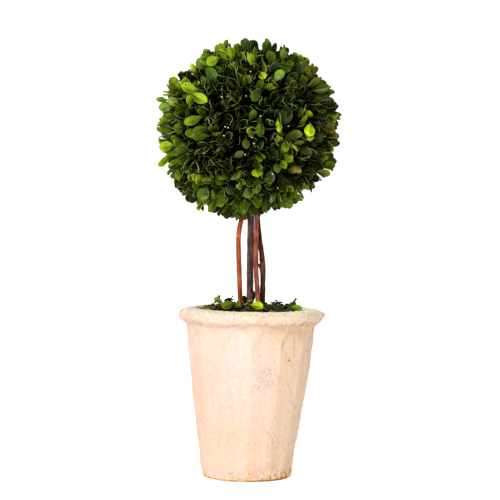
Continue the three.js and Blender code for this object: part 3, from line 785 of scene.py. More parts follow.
# ------------------------------------------------------------------ leaves
def leaf_shape(draw, fine, wide=0.545):
    """One leaf of unit length along +Y with its face to +Z. Gives vertices and three lists of faces with their kinds."""
    t = np.array([0, 0.09, 0.19, 0.34, 0.52, 0.70, 0.85, 0.95, 1.0] if fine else [0, 0.14, 0.38, 0.66, 0.88, 1.0])
    u = np.array([-1, -0.92, -0.055, 0.055, 0.92, 1.0] if fine else [-1, 0, 1.0])
    under = np.array([-1, 0, 1.0])
    s = np.clip((t - 0.06) / 0.94, 0, 1)
    power = draw.uniform(1.12, 1.55)
    shape = np.sin(math.pi * np.clip(s, 0, 1) ** power) ** 0.46 * (0.52 + 0.48 * smooth(0, 0.5, s))
    half = wide / 2 * shape
    half[0] = 0.028
    half[1] = max(half[1], 0.034)
    half[-1] = 0.02
    bend = draw.normal(0.05, 0.20)
    back = draw.normal(-0.05, 0.14)
    theta = bend * smooth(0.1, 1.0, t) + back * np.sin(math.pi * t)
    step = np.diff(t)
    y = np.concatenate([[0], np.cumsum(step * np.cos((theta[1:] + theta[:-1]) / 2))])
    z = np.concatenate([[0], np.cumsum(step * np.sin((theta[1:] + theta[:-1]) / 2))])
    cup = np.clip(draw.normal(0.24, 0.22), -0.3, 0.8)
    fold = np.clip(draw.normal(0.20, 0.16), -0.1, 0.55)
    roll = draw.uniform(-0.04, 0.02)
    skew = draw.normal(0, 0.05)
    # Drying has left the blade a little puckered.
    waves = [(draw.uniform(0.012, 0.030), draw.uniform(0.9, 1.5), draw.uniform(-2.5, 2.5), draw.uniform(0, 6.3)),
             (draw.uniform(0.008, 0.018), draw.uniform(2.0, 2.9), draw.uniform(-3.5, 3.5), draw.uniform(0, 6.3))]

    def sheet(cols, offset):
        pts = []
        for k in range(len(t)):
            across = cols * half[k]
            lift = half[k] * (cup * cols**2 * 0.9 + fold * np.abs(cols)) - 0.018 * (np.abs(cols) < 0.2) * (1 - s[k]) + roll * (np.abs(cols) > 0.9)
            lift = lift + sum(high * np.sin(2 * math.pi * often * t[k] + turn * cols + start) for high, often, turn, start in waves)
            lift = lift * smooth(0, 0.3, np.array(t[k])) + offset
            x = across * (1 - 0.16 * (cup * cols) ** 2) + skew * t[k] ** 2
            pts.append(np.stack([x, y[k] - np.sin(theta[k]) * lift, z[k] + np.cos(theta[k]) * lift], axis=1))
        return np.concatenate(pts)

    thick = 0.021 if fine else 0.03
    top, low = sheet(u, 0.0), sheet(under, -thick)
    rows, cu, cl = len(t), len(u), len(under)
    base = len(top)
    faces_top = grid_faces(rows, cu, False)
    faces_low = grid_faces(rows, cl, False)[:, ::-1] + base
    kind_top = np.zeros((rows - 1, cu - 1), int)
    if fine:
        tones = np.array([4, 4, 6, 0, 0, 7, 5, 5])
        kind_top[:] = tones[:, None]
        # Every leaf is painted darker towards the base, as shade from its neighbours, and lighter towards the tip, as
        # painted light; many have one half a step darker, as painted shade.
        other = np.array([4, 4, 6, 6, 0, 7, 7, 5]) if draw.random() < 0.6 else tones
        kind_top[:, 1 if draw.random() < 0.5 else 3] = other
        kind_top[:, [0, -1]] = 2
        kind_top[:, 2] = 3
    r = np.arange(rows - 1)
    left = np.stack([r * cu, (r + 1) * cu, base + (r + 1) * cl, base + r * cl], axis=1)
    right = np.stack([r * cu + cu - 1, base + r * cl + cl - 1, base + (r + 1) * cl + cl - 1, (r + 1) * cu + cu - 1], axis=1)
    start = np.concatenate([np.arange(cu), base + np.arange(cl)[::-1]])[::-1]
    e = (rows - 1)
    end = np.concatenate([e * cu + np.arange(cu), base + e * cl + np.arange(cl)[::-1]])
    quads = np.vstack([faces_top, faces_low, left, right])
    kinds = np.concatenate([kind_top.ravel(), np.ones(len(faces_low), int), np.full(2 * len(r), RIM)])
    ends = np.vstack([start, end])
    return np.vstack([top, low]), quads, kinds, ends


# Leaf colours, all plain: colour, the share of sprays that have it, roughness and gloss.
LEAF_COLOURS = [
    ("deep", (0.008, 0.013, 0.0015), 0.20, 0.36, 0.14),
    ("dark", (0.021, 0.033, 0.0016), 0.17, 0.30, 0.20),
    ("mid", (0.066, 0.099, 0.0030), 0.13, 0.30, 0.22),
    ("fresh", (0.132, 0.190, 0.0045), 0.15, 0.30, 0.22),
    ("lime", (0.215, 0.290, 0.0060), 0.09, 0.32, 0.20),
    ("yellow", (0.330, 0.420, 0.0080), 0.02, 0.40, 0.13),
    ("olive", (0.118, 0.124, 0.0040), 0.07, 0.34, 0.18),
    ("rusty", (0.150, 0.105, 0.0160), 0.008, 0.50, 0.10),
    ("pine", (0.021, 0.040, 0.0045), 0.08, 0.26, 0.30),
    ("jade", (0.060, 0.112, 0.0050), 0.05, 0.28, 0.22),
    ("mint", (0.125, 0.205, 0.0160), 0.03, 0.28, 0.30),
    ("straw", (0.310, 0.270, 0.0800), 0.0, 0.50, 0.12),
    ("moss", (0.034, 0.037, 0.0015), 0.06, 0.40, 0.10),
    ("dull_mid", (0.098, 0.125, 0.0025), 0.0, 0.60, 0.05),
    ("dull_fresh", (0.132, 0.200, 0.0060), 0.0, 0.55, 0.08),
]
COLOUR_NAMES = [c[0] for c in LEAF_COLOURS]
OLDER_AND_SHADED = [0, 0, 1, 2, 3, 4, 12, 6, 0, 8, 9, 7, 0, 1, 2]
YOUNGER = [1, 2, 3, 4, 5, 5, 3, 7, 9, 10, 10, 11, 6, 3, 4]
KINDS = 8

# Sprays whose colour stands out, on the front: x and z as seen from the camera, half-width, half-height, mm, colour.
STANDOUT = [
    (-57.0, 429.0, 15, 9, "lime"), (-48.6, 363.8, 12, 9, "fresh"), (62.0, 376.0, 9, 7, "fresh"), (17.5, 401.6, 10, 7, "fresh"),
    (-33.9, 427.9, 8, 12, "mint"), (-15.0, 444.7, 10, 8, "lime"), (10.7, 316.6, 6, 5, "mid"), (-84.3, 330.2, 8, 9, "lime"),
    (-85.0, 367.0, 8, 9, "fresh"), (-66.0, 318.0, 8, 8, "lime"), (-2.9, 284.0, 7, 8, "fresh"), (66.9, 421.6, 8, 7, "olive"),
    (-83.3, 348.0, 8, 7, "lime"), (6.0, 433.1, 7, 7, "olive"), (-75.0, 385.0, 9, 8, "fresh"), (-72.0, 404.0, 9, 8, "olive"),
    (38.0, 348.0, 9, 7, "fresh"), (-20.0, 392.0, 14, 9, "moss"), (10.0, 380.0, 14, 8, "deep"), (-25.0, 340.0, 14, 10, "moss"),
    (40.0, 398.0, 12, 8, "dark"), (68.0, 340.0, 12, 9, "moss"), (-38.0, 316.0, 10, 8, "dark"), (72.0, 318.0, 12, 10, "moss"),
    (48.0, 306.0, 10, 10, "moss"), (84.0, 326.0, 7, 9, "olive"), (-20.0, 410.0, 9, 7, "moss"), (86.0, 358.0, 7, 8, "rusty"),
    (-8.0, 362.0, 10, 8, "pine"), (36.0, 384.0, 9, 8, "pine"), (-52.0, 346.0, 9, 6, "moss"), (-36.0, 296.0, 9, 7, "fresh"),
    (45.0, 412.0, 9, 8, "dark"), (44.0, 334.0, 8, 8, "dark"), (22.0, 290.0, 9, 8, "fresh"), (40.0, 292.0, 9, 9, "fresh"),
    (-8.0, 436.0, 8, 7, "mint"), (40.0, 437.0, 8, 7, "mint"), (-49.0, 437.0, 8, 8, "mint"), (-68.0, 402.0, 9, 9, "lime"),
    (-36.0, 406.0, 8, 8, "jade"), (-54.0, 322.0, 8, 8, "dark"), (-54.0, 336.0, 8, 6, "dark"), (54.0, 398.0, 9, 8, "dark"),
    (46.0, 382.0, 8, 8, "dark"),
]

# Leaves that stand clear of the rest on the front: the middle's x and z as seen, the way the leaf points in degrees,
# its length, its width as a share of that, how far it leans forward and how far it is rolled, and its colour.
LARGE_LEAVES = [
    (65.8, 362.2, -100, 15.6, 0.77, 20, 0, "yellow"),
    (65.8, 356.5, -92, 12.6, 0.83, 5, 30, "lime"),
    (-58.1, 404.8, 165, 21.2, 0.54, 8, 15, "lime"),
    (-50.7, 395.3, -38, 20.3, 0.60, 10, -10, "lime"),
    (-33.9, 434.7, 205, 16.3, 0.68, 15, 5, "lime"),
    (-44.4, 430.0, 150, 17.4, 0.72, 15, 0, "mint"),
    (-35.0, 419.5, 120, 16.9, 0.68, 5, -20, "jade"),
    (-15.0, 441.0, 95, 17.4, 0.51, 25, 5, "lime"),
    (6.0, 433.1, 100, 17.1, 0.55, 10, 35, "lime"),
    (18.6, 427.9, -75, 16.0, 0.36, 10, 40, "olive"),
    (17.0, 418.4, -60, 13.3, 0.67, 30, 0, "lime"),
    (39.6, 427.9, -20, 15.2, 0.69, 15, 20, "jade"),
    (33.3, 417.4, 55, 16.0, 0.62, 10, -10, "mint"),
    (27.0, 436.3, 110, 16.3, 0.61, 15, 10, "mid"),
    (28.0, 425.8, 35, 15.8, 0.60, 5, 25, "pine"),
    (38.5, 439.4, 80, 13.9, 0.53, 10, 0, "mint"),
    (20.7, 447.3, 70, 15.6, 0.67, 20, 10, "jade"),
    (-1.4, 449.4, 60, 14.1, 0.74, 15, 0, "jade"),
    (23.8, 406.4, 8, 16.0, 0.46, 10, 15, "fresh"),
    (10.2, 398.5, 222, 15.6, 0.70, 20, -5, "jade"),
    (6.0, 375.4, 60, 15.1, 0.49, 25, 20, "mid"),
    (14.4, 363.8, -96, 18.0, 0.52, 8, -10, "jade"),
    (33.3, 368.0, -95, 17.4, 0.45, 15, 35, "lime"),
    (42.2, 379.6, -88, 21.5, 0.66, 12, 0, "dark"),
    (50.6, 357.5, -5, 15.6, 0.54, 20, 10, "mid"),
    (59.5, 371.2, 45, 14.1, 0.37, 15, 25, "fresh"),
    (57.4, 378.5, 60, 11.7, 0.40, 10, 35, "mid"),
    (67.4, 421.6, 100, 16.3, 0.71, 15, 0, "olive"),
    (70.0, 410.6, 32, 18.0, 0.38, 8, 25, "olive"),
    (77.4, 404.2, 12, 20.0, 0.42, 5, 10, "mid"),
    (-54.4, 372.2, 200, 21.3, 0.47, 10, -5, "fresh"),
    (-46.5, 363.3, 190, 17.4, 0.39, 15, 20, "mid"),
    (-46.5, 354.9, 182, 19.6, 0.43, 15, -15, "mid"),
    (-82.2, 345.4, 185, 17.9, 0.64, 5, 0, "lime"),
    (-84.3, 330.2, 232, 19.0, 0.44, 5, -30, "lime"),
    (-82.7, 385.9, 200, 17.1, 0.62, 10, 10, "mint"),
    (-73.8, 408.5, 132, 19.0, 0.66, 5, 0, "fresh"),
    (-71.2, 313.4, 105, 12.8, 0.53, 10, 15, "lime"),
    (-0.8, 348.1, -95, 14.1, 0.56, 35, 0, "mid"),
    (-8.7, 335.5, 28, 12.7, 0.58, 25, 10, "mid"),
    (10.2, 317.6, -80, 12.3, 0.89, 40, 0, "lime"),
    (25.4, 312.9, -97, 16.3, 0.64, 15, 0, "jade"),
    (40.6, 345.4, -80, 14.5, 0.61, 30, 10, "fresh"),
    (43.8, 333.4, -28, 14.5, 0.69, 30, 0, "fresh"),
    (38.5, 326.6, -55, 12.8, 0.61, 35, 0, "fresh"),
    (32.2, 323.9, -90, 13.7, 0.61, 40, 0, "mid"),
    (53.2, 347.0, 18, 16.0, 0.30, 10, 40, "olive"),
    (48.5, 321.3, -60, 10.9, 0.67, 30, 0, "rusty"),
    (54.3, 321.8, -80, 11.2, 0.56, 20, 10, "straw"),
    (-44.4, 296.1, -118, 18.1, 0.72, 10, 0, "jade"),
    (-35.0, 283.0, -108, 17.1, 0.49, 10, 15, "fresh"),
    (-1.9, 282.4, -90, 17.1, 0.58, 10, 0, "jade"),
    (3.9, 307.1, -90, 14.5, 0.69, 30, 0, "pine"),
    (11.2, 302.9, -80, 14.5, 0.69, 30, 5, "mid"),
    (1.8, 297.2, -75, 14.5, 0.72, 20, 0, "mid"),
    (21.7, 285.1, -82, 17.0, 0.59, 8, 0, "mid"),
    (85.8, 325.0, 20, 13.9, 0.68, 25, 0, "fresh"),
    (79.0, 317.1, -12, 17.9, 0.47, 5, 10, "olive"),
    (-20.8, 276.2, -100, 14.9, 0.63, 10, 0, "mid"),
    (-39.2, 308.2, 175, 15.2, 0.48, 15, 15, "mid"),
    (90.0, 355.4, -40, 12.8, 0.66, 10, 0, "rusty"),
    (-87.5, 393.2, 178, 13.7, 0.46, 0, 10, "mint"),
]


def seen_from_front(p):
    """Where a point appears, in the plane through the ball's middle."""
    k = 1600.0 / (1600.0 + p[1])
    return 3.9 + (p[0] - 3.9) * k, 300 + (p[2] - 300) * k


RIM = 20
HALVES = np.array([[6, 1, 2, 3, 4, 7, 4, 0], [7, 1, 2, 3, 4, 5, 0, 5]])


def leaf_materials():
    """For each colour the face, underside, margin, midrib, base, tip and the steps next to those, where the darker base
    and its step are painted shade and the lighter tip and its step painted light; then four for the cut edge.
    """
    made = []
    for name, c, _, rough, gloss in LEAF_COLOURS:
        blend = lambda share, other: tuple((1 - share) * v + share * w for v, w in zip(c, other))
        made += [
            plain(f"leaf_{name}", tuple(0.94 * v for v in c), roughness=rough, specular=gloss),
            plain(f"leaf_{name}_underside", blend(0.38, (0.085, 0.105, 0.022)), roughness=0.6, specular=0.10),
            plain(f"leaf_{name}_margin", blend(0.45, (0.28, 0.34, 0.12)), roughness=0.5, specular=0.12),
            plain(f"leaf_{name}_rib", blend(0.30, (0.20, 0.27, 0.05)), roughness=0.45, specular=0.12),
            plain(f"leaf_{name}_base", tuple(0.36 * v for v in c), roughness=rough, specular=gloss),
            plain(f"leaf_{name}_tip", tuple(1.42 * v for v in c), roughness=rough, specular=gloss),
            plain(f"leaf_{name}_lower", tuple(0.64 * v for v in c), roughness=rough, specular=gloss),
            plain(f"leaf_{name}_upper", tuple(1.20 * v for v in c), roughness=rough, specular=gloss),
        ]
    # The pale margins and the pale and lime edges are partly the leaf's own paler margin and partly painted highlight.
    made.append(plain("leaf_edge_dull", (0.09, 0.12, 0.035), roughness=0.55, specular=0.12))
    made.append(plain("leaf_edge_pale", (0.37, 0.43, 0.22), roughness=0.55, specular=0.12))
    made.append(plain("leaf_edge_brown", (0.20, 0.19, 0.13), roughness=0.55, specular=0.12))
    made.append(plain("leaf_edge_lime", (0.46, 0.54, 0.17), roughness=0.55, specular=0.12))
    return made


def ball_outline(d):
    """The clipped skin's distance from the ball's centre in unit directions d."""
    d = np.atleast_2d(d)
    turn = np.degrees(np.arctan2(d[:, 2], d[:, 0])) % 360
    around = np.interp(turn, np.arange(25) * 15.0, OUTLINE + OUTLINE[:1])
    share = smooth(0.25, 0.95, np.sqrt(np.maximum(0, 1 - d[:, 1] ** 2)))
    return 93.6 + share * (around - 93.6) + 0.8 * noise(d * 2.6, 15) - 0.3


def unit(v):
    v = np.asarray(v, float)
    return v / np.linalg.norm(v, axis=-1, keepdims=True)


def stem_clear(p):
    """How far a point is from the nearest stem's axis, in plan, below the ball's middle."""
    if p[2] > 318:
        return 99.0
    best = 99.0
    for spec in STEMS.values():
        path = np.array(spec["path"], float)
        best = min(best, math.hypot(p[0] - np.interp(p[2], path[:, 2], path[:, 0]), p[1] - np.interp(p[2], path[:, 2], path[:, 1])))
    return best


def grow_ball():
    """Sprigs on the core, each a twig with crossed pairs of leaves and now and then a side shoot.

    Gives leaves as (origin, length axis, face axis, size, colour) and twigs as (points, radius, radius)."""
    draw = np.random.default_rng(1866)
    leaves, twigs = [], []
    weights = np.array([c[2] for c in LEAF_COLOURS])
    weights = weights / weights.sum()
    # The front's bright leaves are placed one by one further down, so the other sides get more bright sprays here.
    brighter = weights * np.array([2.2 if c[0] in ("lime", "yellow", "mint", "jade") else 1.5 if c[0] == "fresh" else 0.85 for c in LEAF_COLOURS])
    brighter = brighter / brighter.sum()
    golden = math.pi * (3 - math.sqrt(5))

    def shoot(tip, axis, nodes, size, colour, young, turn):
        """Leaf pairs back along a shoot from its tip, each pair a quarter turn from the last."""
        side = unit(np.cross(axis, [0.3, 0.5, 0.81]))
        other = np.cross(axis, side)
        back = 0.0
        for k in range(nodes):
            bud = young and k == 0
            at = tip - axis * back
            spread = math.radians(7 if bud else [11, 17, 23, 28, 33, 38][k] + draw.normal(0, 6))
            long = size * (0.55 if bud else 1.0) * draw.uniform(0.84, 1.10)
            # Pairs further back down the shoot take a tone or two darker, partly as older leaves and partly as painted
            # shade deep in the ball.
            deep = 0 if k < 2 else -1 if k < 3 else -2
            for half in (0, 1):
                a = turn + math.pi * half + draw.normal(0, 0.2)
                out = math.cos(a) * side + math.sin(a) * other
                s = spread + draw.normal(0, 0.12)
                way = unit(math.cos(s) * axis + math.sin(s) * out + draw.normal(0, 0.07, 3))
                face = math.cos(s) * -out + math.sin(s) * axis
                face = unit(face - way * (face @ way))
                swing = draw.normal(0, 0.40)
                face = unit(math.cos(swing) * face + math.sin(swing) * np.cross(way, face))
                chance = draw.random()
                tone = YOUNGER[colour] if chance < 0.12 else OLDER_AND_SHADED[colour] if chance > 0.88 else colour
                for _ in range(-deep):
                    tone = OLDER_AND_SHADED[tone]
                leaves.append([at + out * 0.6, way, face, long, tone, 0])
            turn += math.pi / 2 + draw.normal(0, 0.12)
            back += 2.5 if bud else draw.uniform(5.0, 8.0)
        return back

    ways = []
    for i in range(SPRIGS):
        z = 1 - 2 * (i + 0.5) / SPRIGS + draw.normal(0, 0.014)
        a = i * golden + draw.normal(0, 0.09)
        r = math.sqrt(max(0, 1 - min(1, abs(z)) ** 2))
        ways.append(unit([math.cos(a) * r, math.sin(a) * r, np.clip(z, -1, 1)]))
    # A collar of sprigs round the stems, which pass through the rest.
    ways = [d for d in ways if d[2] > -0.955]
    for ring, count in ((1.0, 13), (1.75, 18)):
        for k in range(count):
            a = 2 * math.pi * (k + draw.uniform(-0.25, 0.25)) / count
            ways.append(unit([2.4 + 17.5 * ring * math.cos(a), -1 + 13.5 * ring * math.sin(a), -88]))
    for d in ways:
        skin = float(ball_outline(d)[0]) + np.clip(draw.normal(-0.2, 3.0), -8, 3.5)
        size = LEAF_LENGTH * draw.uniform(0.84, 1.12)
        axis = unit(d + draw.normal(0, 0.17, 3))
        young = draw.random() < 0.3
        tip = BALL_CENTRE + d * (skin - size * (0.72 if young else 0.93))
        root = tip - axis * 40
        colour = int(draw.choice(len(LEAF_COLOURS), p=weights if d[1] < 0.15 else brighter))
        if d[1] < 0.15:
            sx, sz = seen_from_front(tip + d * 10)
            for cx, cz, wide, tall, name in STANDOUT:
                if ((sx - cx) / wide) ** 2 + ((sz - cz) / tall) ** 2 < 1.3:
                    colour = COLOUR_NAMES.index(name)
        turn = draw.uniform(0, math.pi)
        shoot(tip, axis, int(draw.integers(4, 6)), size, colour, young, turn)
        stub = 0.0 if young else draw.uniform(0.5, 6.0) if draw.random() < 0.4 else 0.6
        twigs.append(([root, tip - axis * 18 + draw.normal(0, 0.8, 3), tip + axis * stub], 1.0, 0.6))
        if draw.random() < 0.42:
            # A side shoot from a leaf axil part way down.
            side = unit(np.cross(axis, draw.normal(0, 1, 3)))
            way = unit(axis + side * draw.uniform(0.35, 0.7))
            base = tip - axis * draw.uniform(6, 14)
            end = base + way * draw.uniform(6, 11)
            gap = np.linalg.norm(end - BALL_CENTRE) + size * 0.75 - float(ball_outline(unit(end - BALL_CENTRE))[0])
            if gap > 0:
                end = end - way * gap
            shoot(end, way, 2, size * 0.8, colour, draw.random() < 0.4, draw.uniform(0, math.pi))
            twigs.append(([base, (base + end) / 2, end], 0.6, 0.45))

    cleared = []
    for sx, sz, angle, long, share, lean, roll, name in LARGE_LEAVES:
        x, z = sx - BALL_CENTRE[0], sz - BALL_CENTRE[2]
        flat = math.hypot(x, z)
        skin = float(ball_outline(unit([x, -1e-3, z]))[0]) if flat > 70 else 93.0
        y = -math.sqrt(max(0.0, (skin - (6.0 if flat < 60 else 3.0)) ** 2 - flat**2))
        k = (1600 + y) / 1600
        middle = np.array([3.9 + (sx - 3.9) * k, y, 300 + (sz - 300) * k])
        a, t, r = math.radians(angle), math.radians(lean), math.radians(roll)
        way = np.array([math.cos(a) * math.cos(t), -math.sin(t), math.sin(a) * math.cos(t)])
        face = unit(np.array([0, -1.0, 0]) - way * -way[1]) if abs(way[1]) < 0.98 else np.array([0, 0, 1.0])
        face = unit(math.cos(r) * face + math.sin(r) * np.cross(way, face))
        foot = middle - way * long * 0.5
        leaves.append([foot, way, face, long, COLOUR_NAMES.index(name), share])
        inward = unit(BALL_CENTRE - foot)
        twigs.append(([foot + inward * 22 - way * 3, foot + inward * 8 - way * 3, foot], 0.8, 0.45))
        cleared.append((middle, long * (0.28 if flat < 60 else 0.36)))

    kept = []
    for at, way, face, long, tone, share in leaves:
        tip = at + way * long
        if share == 0 and tip[1] < 0:
            mid = (at + tip) / 2
            if any(math.hypot(*(np.array(seen_from_front(q)) - seen_from_front(m))) < near and q[1] < m[1] + 2 for q in (mid, tip) for m, near in cleared):
                continue
        d = unit(tip - BALL_CENTRE)
        over = np.linalg.norm(tip - BALL_CENTRE) - (float(ball_outline(d)[0]) + 3.0)
        if over > 0 and share == 0:
            at = at - way * over
            tip = tip - way * over
        if share == 0 and min(stem_clear(tip), stem_clear((at + tip) / 2), stem_clear(at + way * long * 0.25)) < 3.9:
            continue
        kept.append((at, way, face, long, tone, np.linalg.norm(tip - BALL_CENTRE), share))
    return kept, twigs


def leaf_pieces(name, leaves, materials, seed, limit=190000):
    """Joined meshes of leaves, each under a number of triangles."""
    draw = np.random.default_rng(seed)
    shapes = {True: [leaf_shape(draw, True) for _ in range(36)], False: [leaf_shape(draw, False) for _ in range(12)]}
    chunks, batch, count = [], [], 0
    for leaf in leaves:
        fine = leaf[5]
        tris = 160 if fine else 60
        if count + tris > limit:
            chunks.append(batch)
            batch, count = [], 0
        batch.append(leaf)
        count += tris
    chunks.append(batch)
    made = []
    for number, batch in enumerate(chunks):
        verts, quads, mats = [], [], []
        caps = {}
        cap_mats = {}
        base = 0
        for at, way, face, long, tone, fine, share in batch:
            v, q, kinds, ends = shapes[fine][draw.integers(len(shapes[fine]))]
            across = np.cross(way, face)
            wide = long * (0.96 * share / 0.545 if share else draw.uniform(0.88, 1.14))
            edge = 3 if tone in (4, 5) else 1 if share > 0 else int(draw.choice(3, p=(0.34, 0.36, 0.30)))
            edge += len(LEAF_COLOURS) * KINDS
            if share:
                # The half that lies lower is painted a step darker, as shade, and the other one a step lighter, as
                # painted light.
                lower = (v[q][:, :, 0].mean(axis=1) < 0) == (across[2] - 0.4 * across[0] > 0)
                kinds = np.where(kinds == RIM, RIM, np.where(lower, HALVES[0][kinds % RIM], HALVES[1][kinds % RIM]))
            placed = v[:, :1] * wide * across + v[:, 1:2] * long * way + v[:, 2:3] * long * face + at
            verts.append(placed)
            quads.append(q + base)
            mats.append(np.where(kinds == RIM, edge, kinds + tone * KINDS))
            caps.setdefault(ends.shape[1], []).append(ends + base)
            cap_mats.setdefault(ends.shape[1], []).append(np.full(len(ends), edge))
            base += len(v)
        groups = [np.concatenate(quads)]
        ids = [np.concatenate(mats)]
        for k in caps:
            groups.append(np.concatenate(caps[k]))
            ids.append(np.concatenate(cap_mats[k]))
        label = name if len(chunks) == 1 else f"{name}_{number + 1}"
        made.append(make_mesh(label, np.concatenate(verts), groups, materials, np.concatenate(ids)))
    return made


def twig_piece(name, twigs, material, sides=6, spacing=8.0):
    verts, quads, tris, base = [], [], [], 0
    for points, r0, r1 in twigs:
        v, q, c = tube(points, lambda t: r0 + (r1 - r0) * t, sides, spacing)
        verts.append(v)
        quads.append(q + base)
        tris.append(c + base)
        base += len(v)
    return make_mesh(name, np.concatenate(verts), [np.concatenate(quads), np.concatenate(tris)], [material])


# Where the cut end of a twig shows on the front: x and z as seen, mm.
CUT_ENDS = [
    (-26.0, 396.1), (-0.3, 397.1), (-22.4, 364.9), (-23.4, 355.4), (42.7, 400.1), (23.3, 428.4), (4.4, 422.6), (-1.4, 335.5),
    (6.0, 353.3), (8.1, 347.0), (-44.4, 336.5), (70.0, 350.2), (65.8, 333.4), (33.3, 300.8), (45.9, 301.9), (8.1, 294.5),
    (-69.6, 387.5), (-19.2, 363.8), (44.8, 365.4), (27.8, 315.0), (-9.8, 303.0), (52.0, 386.0), (-50.0, 412.0), (15.0, 376.0),
]


def make_cut_ends(material):
    """Pale ends of cut twigs, level with the leaves' tips or a little below them."""
    draw = np.random.default_rng(90)
    ends = []
    for sx, sz in CUT_ENDS:
        x, z = sx - BALL_CENTRE[0], sz - BALL_CENTRE[2]
        y = -math.sqrt(max(0.0, 87.0**2 - x * x - z * z))
        k = (1600 + y) / 1600
        ends.append(np.array([3.9 + (sx - 3.9) * k, y, 300 + (sz - 300) * k]) - BALL_CENTRE)
    while len(ends) < 90:
        d = unit(draw.normal(0, 1, 3))
        if d[2] > -0.85 and d[1] > -0.25:
            ends.append(d * draw.uniform(82, 88))
    twigs, stalks = [], []
    for p in ends:
        way = unit(unit(p) + draw.normal(0, 0.15, 3))
        twigs.append(([BALL_CENTRE + p - way * 1.6, BALL_CENTRE + p - way * 0.8, BALL_CENTRE + p], 0.66, 0.66 + draw.uniform(-0.1, 0.12)))
        stalks.append(([BALL_CENTRE + p - way * 26, BALL_CENTRE + p - way * 12, BALL_CENTRE + p - way * 1.5], 0.7, 0.6))
    return twig_piece("twig_ends", twigs, material, sides=8, spacing=0.8), stalks


def make_core():
    """The foam ball under the leaves, with its covering of moss."""
    rows, cols = 60, 90
    lat = np.linspace(0.02, math.pi - 0.02, rows)[:, None]
    lon = (np.arange(cols) * 2 * math.pi / cols)[None, :]
    d = np.stack([(np.sin(lat) * np.cos(lon)).ravel(), (np.sin(lat) * np.sin(lon)).ravel(), (np.cos(lat) * np.ones_like(lon)).ravel()], axis=1)
    r = CORE_RADIUS + 3.0 * fbm(d * 5, 91, 3) + 1.2 * noise(d * 22, 92)
    verts = BALL_CENTRE + d * r[:, None]
    quads = grid_faces(rows, cols, True)[:, ::-1]
    top, low = len(verts), len(verts) + 1
    verts = np.vstack([verts, BALL_CENTRE + [0, 0, CORE_RADIUS], BALL_CENTRE - [0, 0, CORE_RADIUS]])
    c = np.arange(cols)
    n = (c + 1) % cols
    last = (rows - 1) * cols
    caps = np.vstack([np.stack([np.full(cols, top), c, n], axis=1), np.stack([np.full(cols, low), last + n, last + c], axis=1)])
    return make_mesh("foliage_core", verts, [quads, caps], [peat_dark()])


def peat_dark():
    n = Nodes("core_moss")
    here = n.position()
    a = n.noise(here, 500, detail=4, rough=0.6)
    colour = n.mix(n.ramp(a, 0.4, 0.65), (0.004, 0.006, 0.002), (0.014, 0.016, 0.004))
    return n.finish(colour, n.ramp(a, 0.3, 0.7, 0.85, 0.95), n.bump(a, 0.6, 0.001), specular=0.1)


# ------------------------------------------------------------------ the pot's filling
def fill_top(x, y):
    """Height of the filling's top, mm."""
    x, y = np.asarray(x, float), np.asarray(y, float)
    r = np.hypot(x - POT_LEAN + 1.3, y)
    p = np.stack([np.ravel(x), np.ravel(y), np.zeros(x.size)], axis=1)
    bumps = (1.5 * fbm(p / 11, 201, 3) + 0.7 * noise(p / 3.5, 203)).reshape(x.shape)
    return 170.6 + 6.4 * smooth(54, 8, r) + bumps * smooth(55, 49, r) - LIP_DROP * (x - POT_LEAN) / 76


def make_fill(material):
    rows, cols = 64, 160
    share = np.linspace(0, 1, rows)[1:]
    a = (np.arange(cols) * 2 * math.pi / cols)[None, :]
    r = (54.6 * share)[:, None]
    x, y = POT_LEAN - 1.3 + r * np.sin(a), -r * np.cos(a)
    top = np.stack([x.ravel(), y.ravel(), fill_top(x, y).ravel()], axis=1)
    # Down the pot's inside to its floor.
    down = []
    for z, rr in ((167, 54.4), (158, 53.7), (120, 52.0), (60, 45.0), (16.4, 38.0), (10.6, 33.6)):
        down.append(np.stack([(POT_LEAN * z / 168 + rr * np.sin(a)).ravel(), (-rr * np.cos(a)).ravel(), np.full(cols, float(z))], axis=1))
    verts = np.vstack([top] + down)
    quads = grid_faces(len(share) + len(down), cols, True)[:, ::-1]
    mid, low = len(verts), len(verts) + 1
    verts = np.vstack([verts, [[POT_LEAN, 0, float(fill_top(np.array([POT_LEAN]), np.array([0.0]))[0])]], [[0.4, 0, 10.6]]])
    c = np.arange(cols)
    n = (c + 1) % cols
    last = (len(share) + len(down) - 1) * cols
    caps = np.vstack([np.stack([np.full(cols, mid), c, n], axis=1), np.stack([np.full(cols, low), last + n, last + c], axis=1)])
    return make_mesh("pot_filling", verts, [quads, caps], [material])


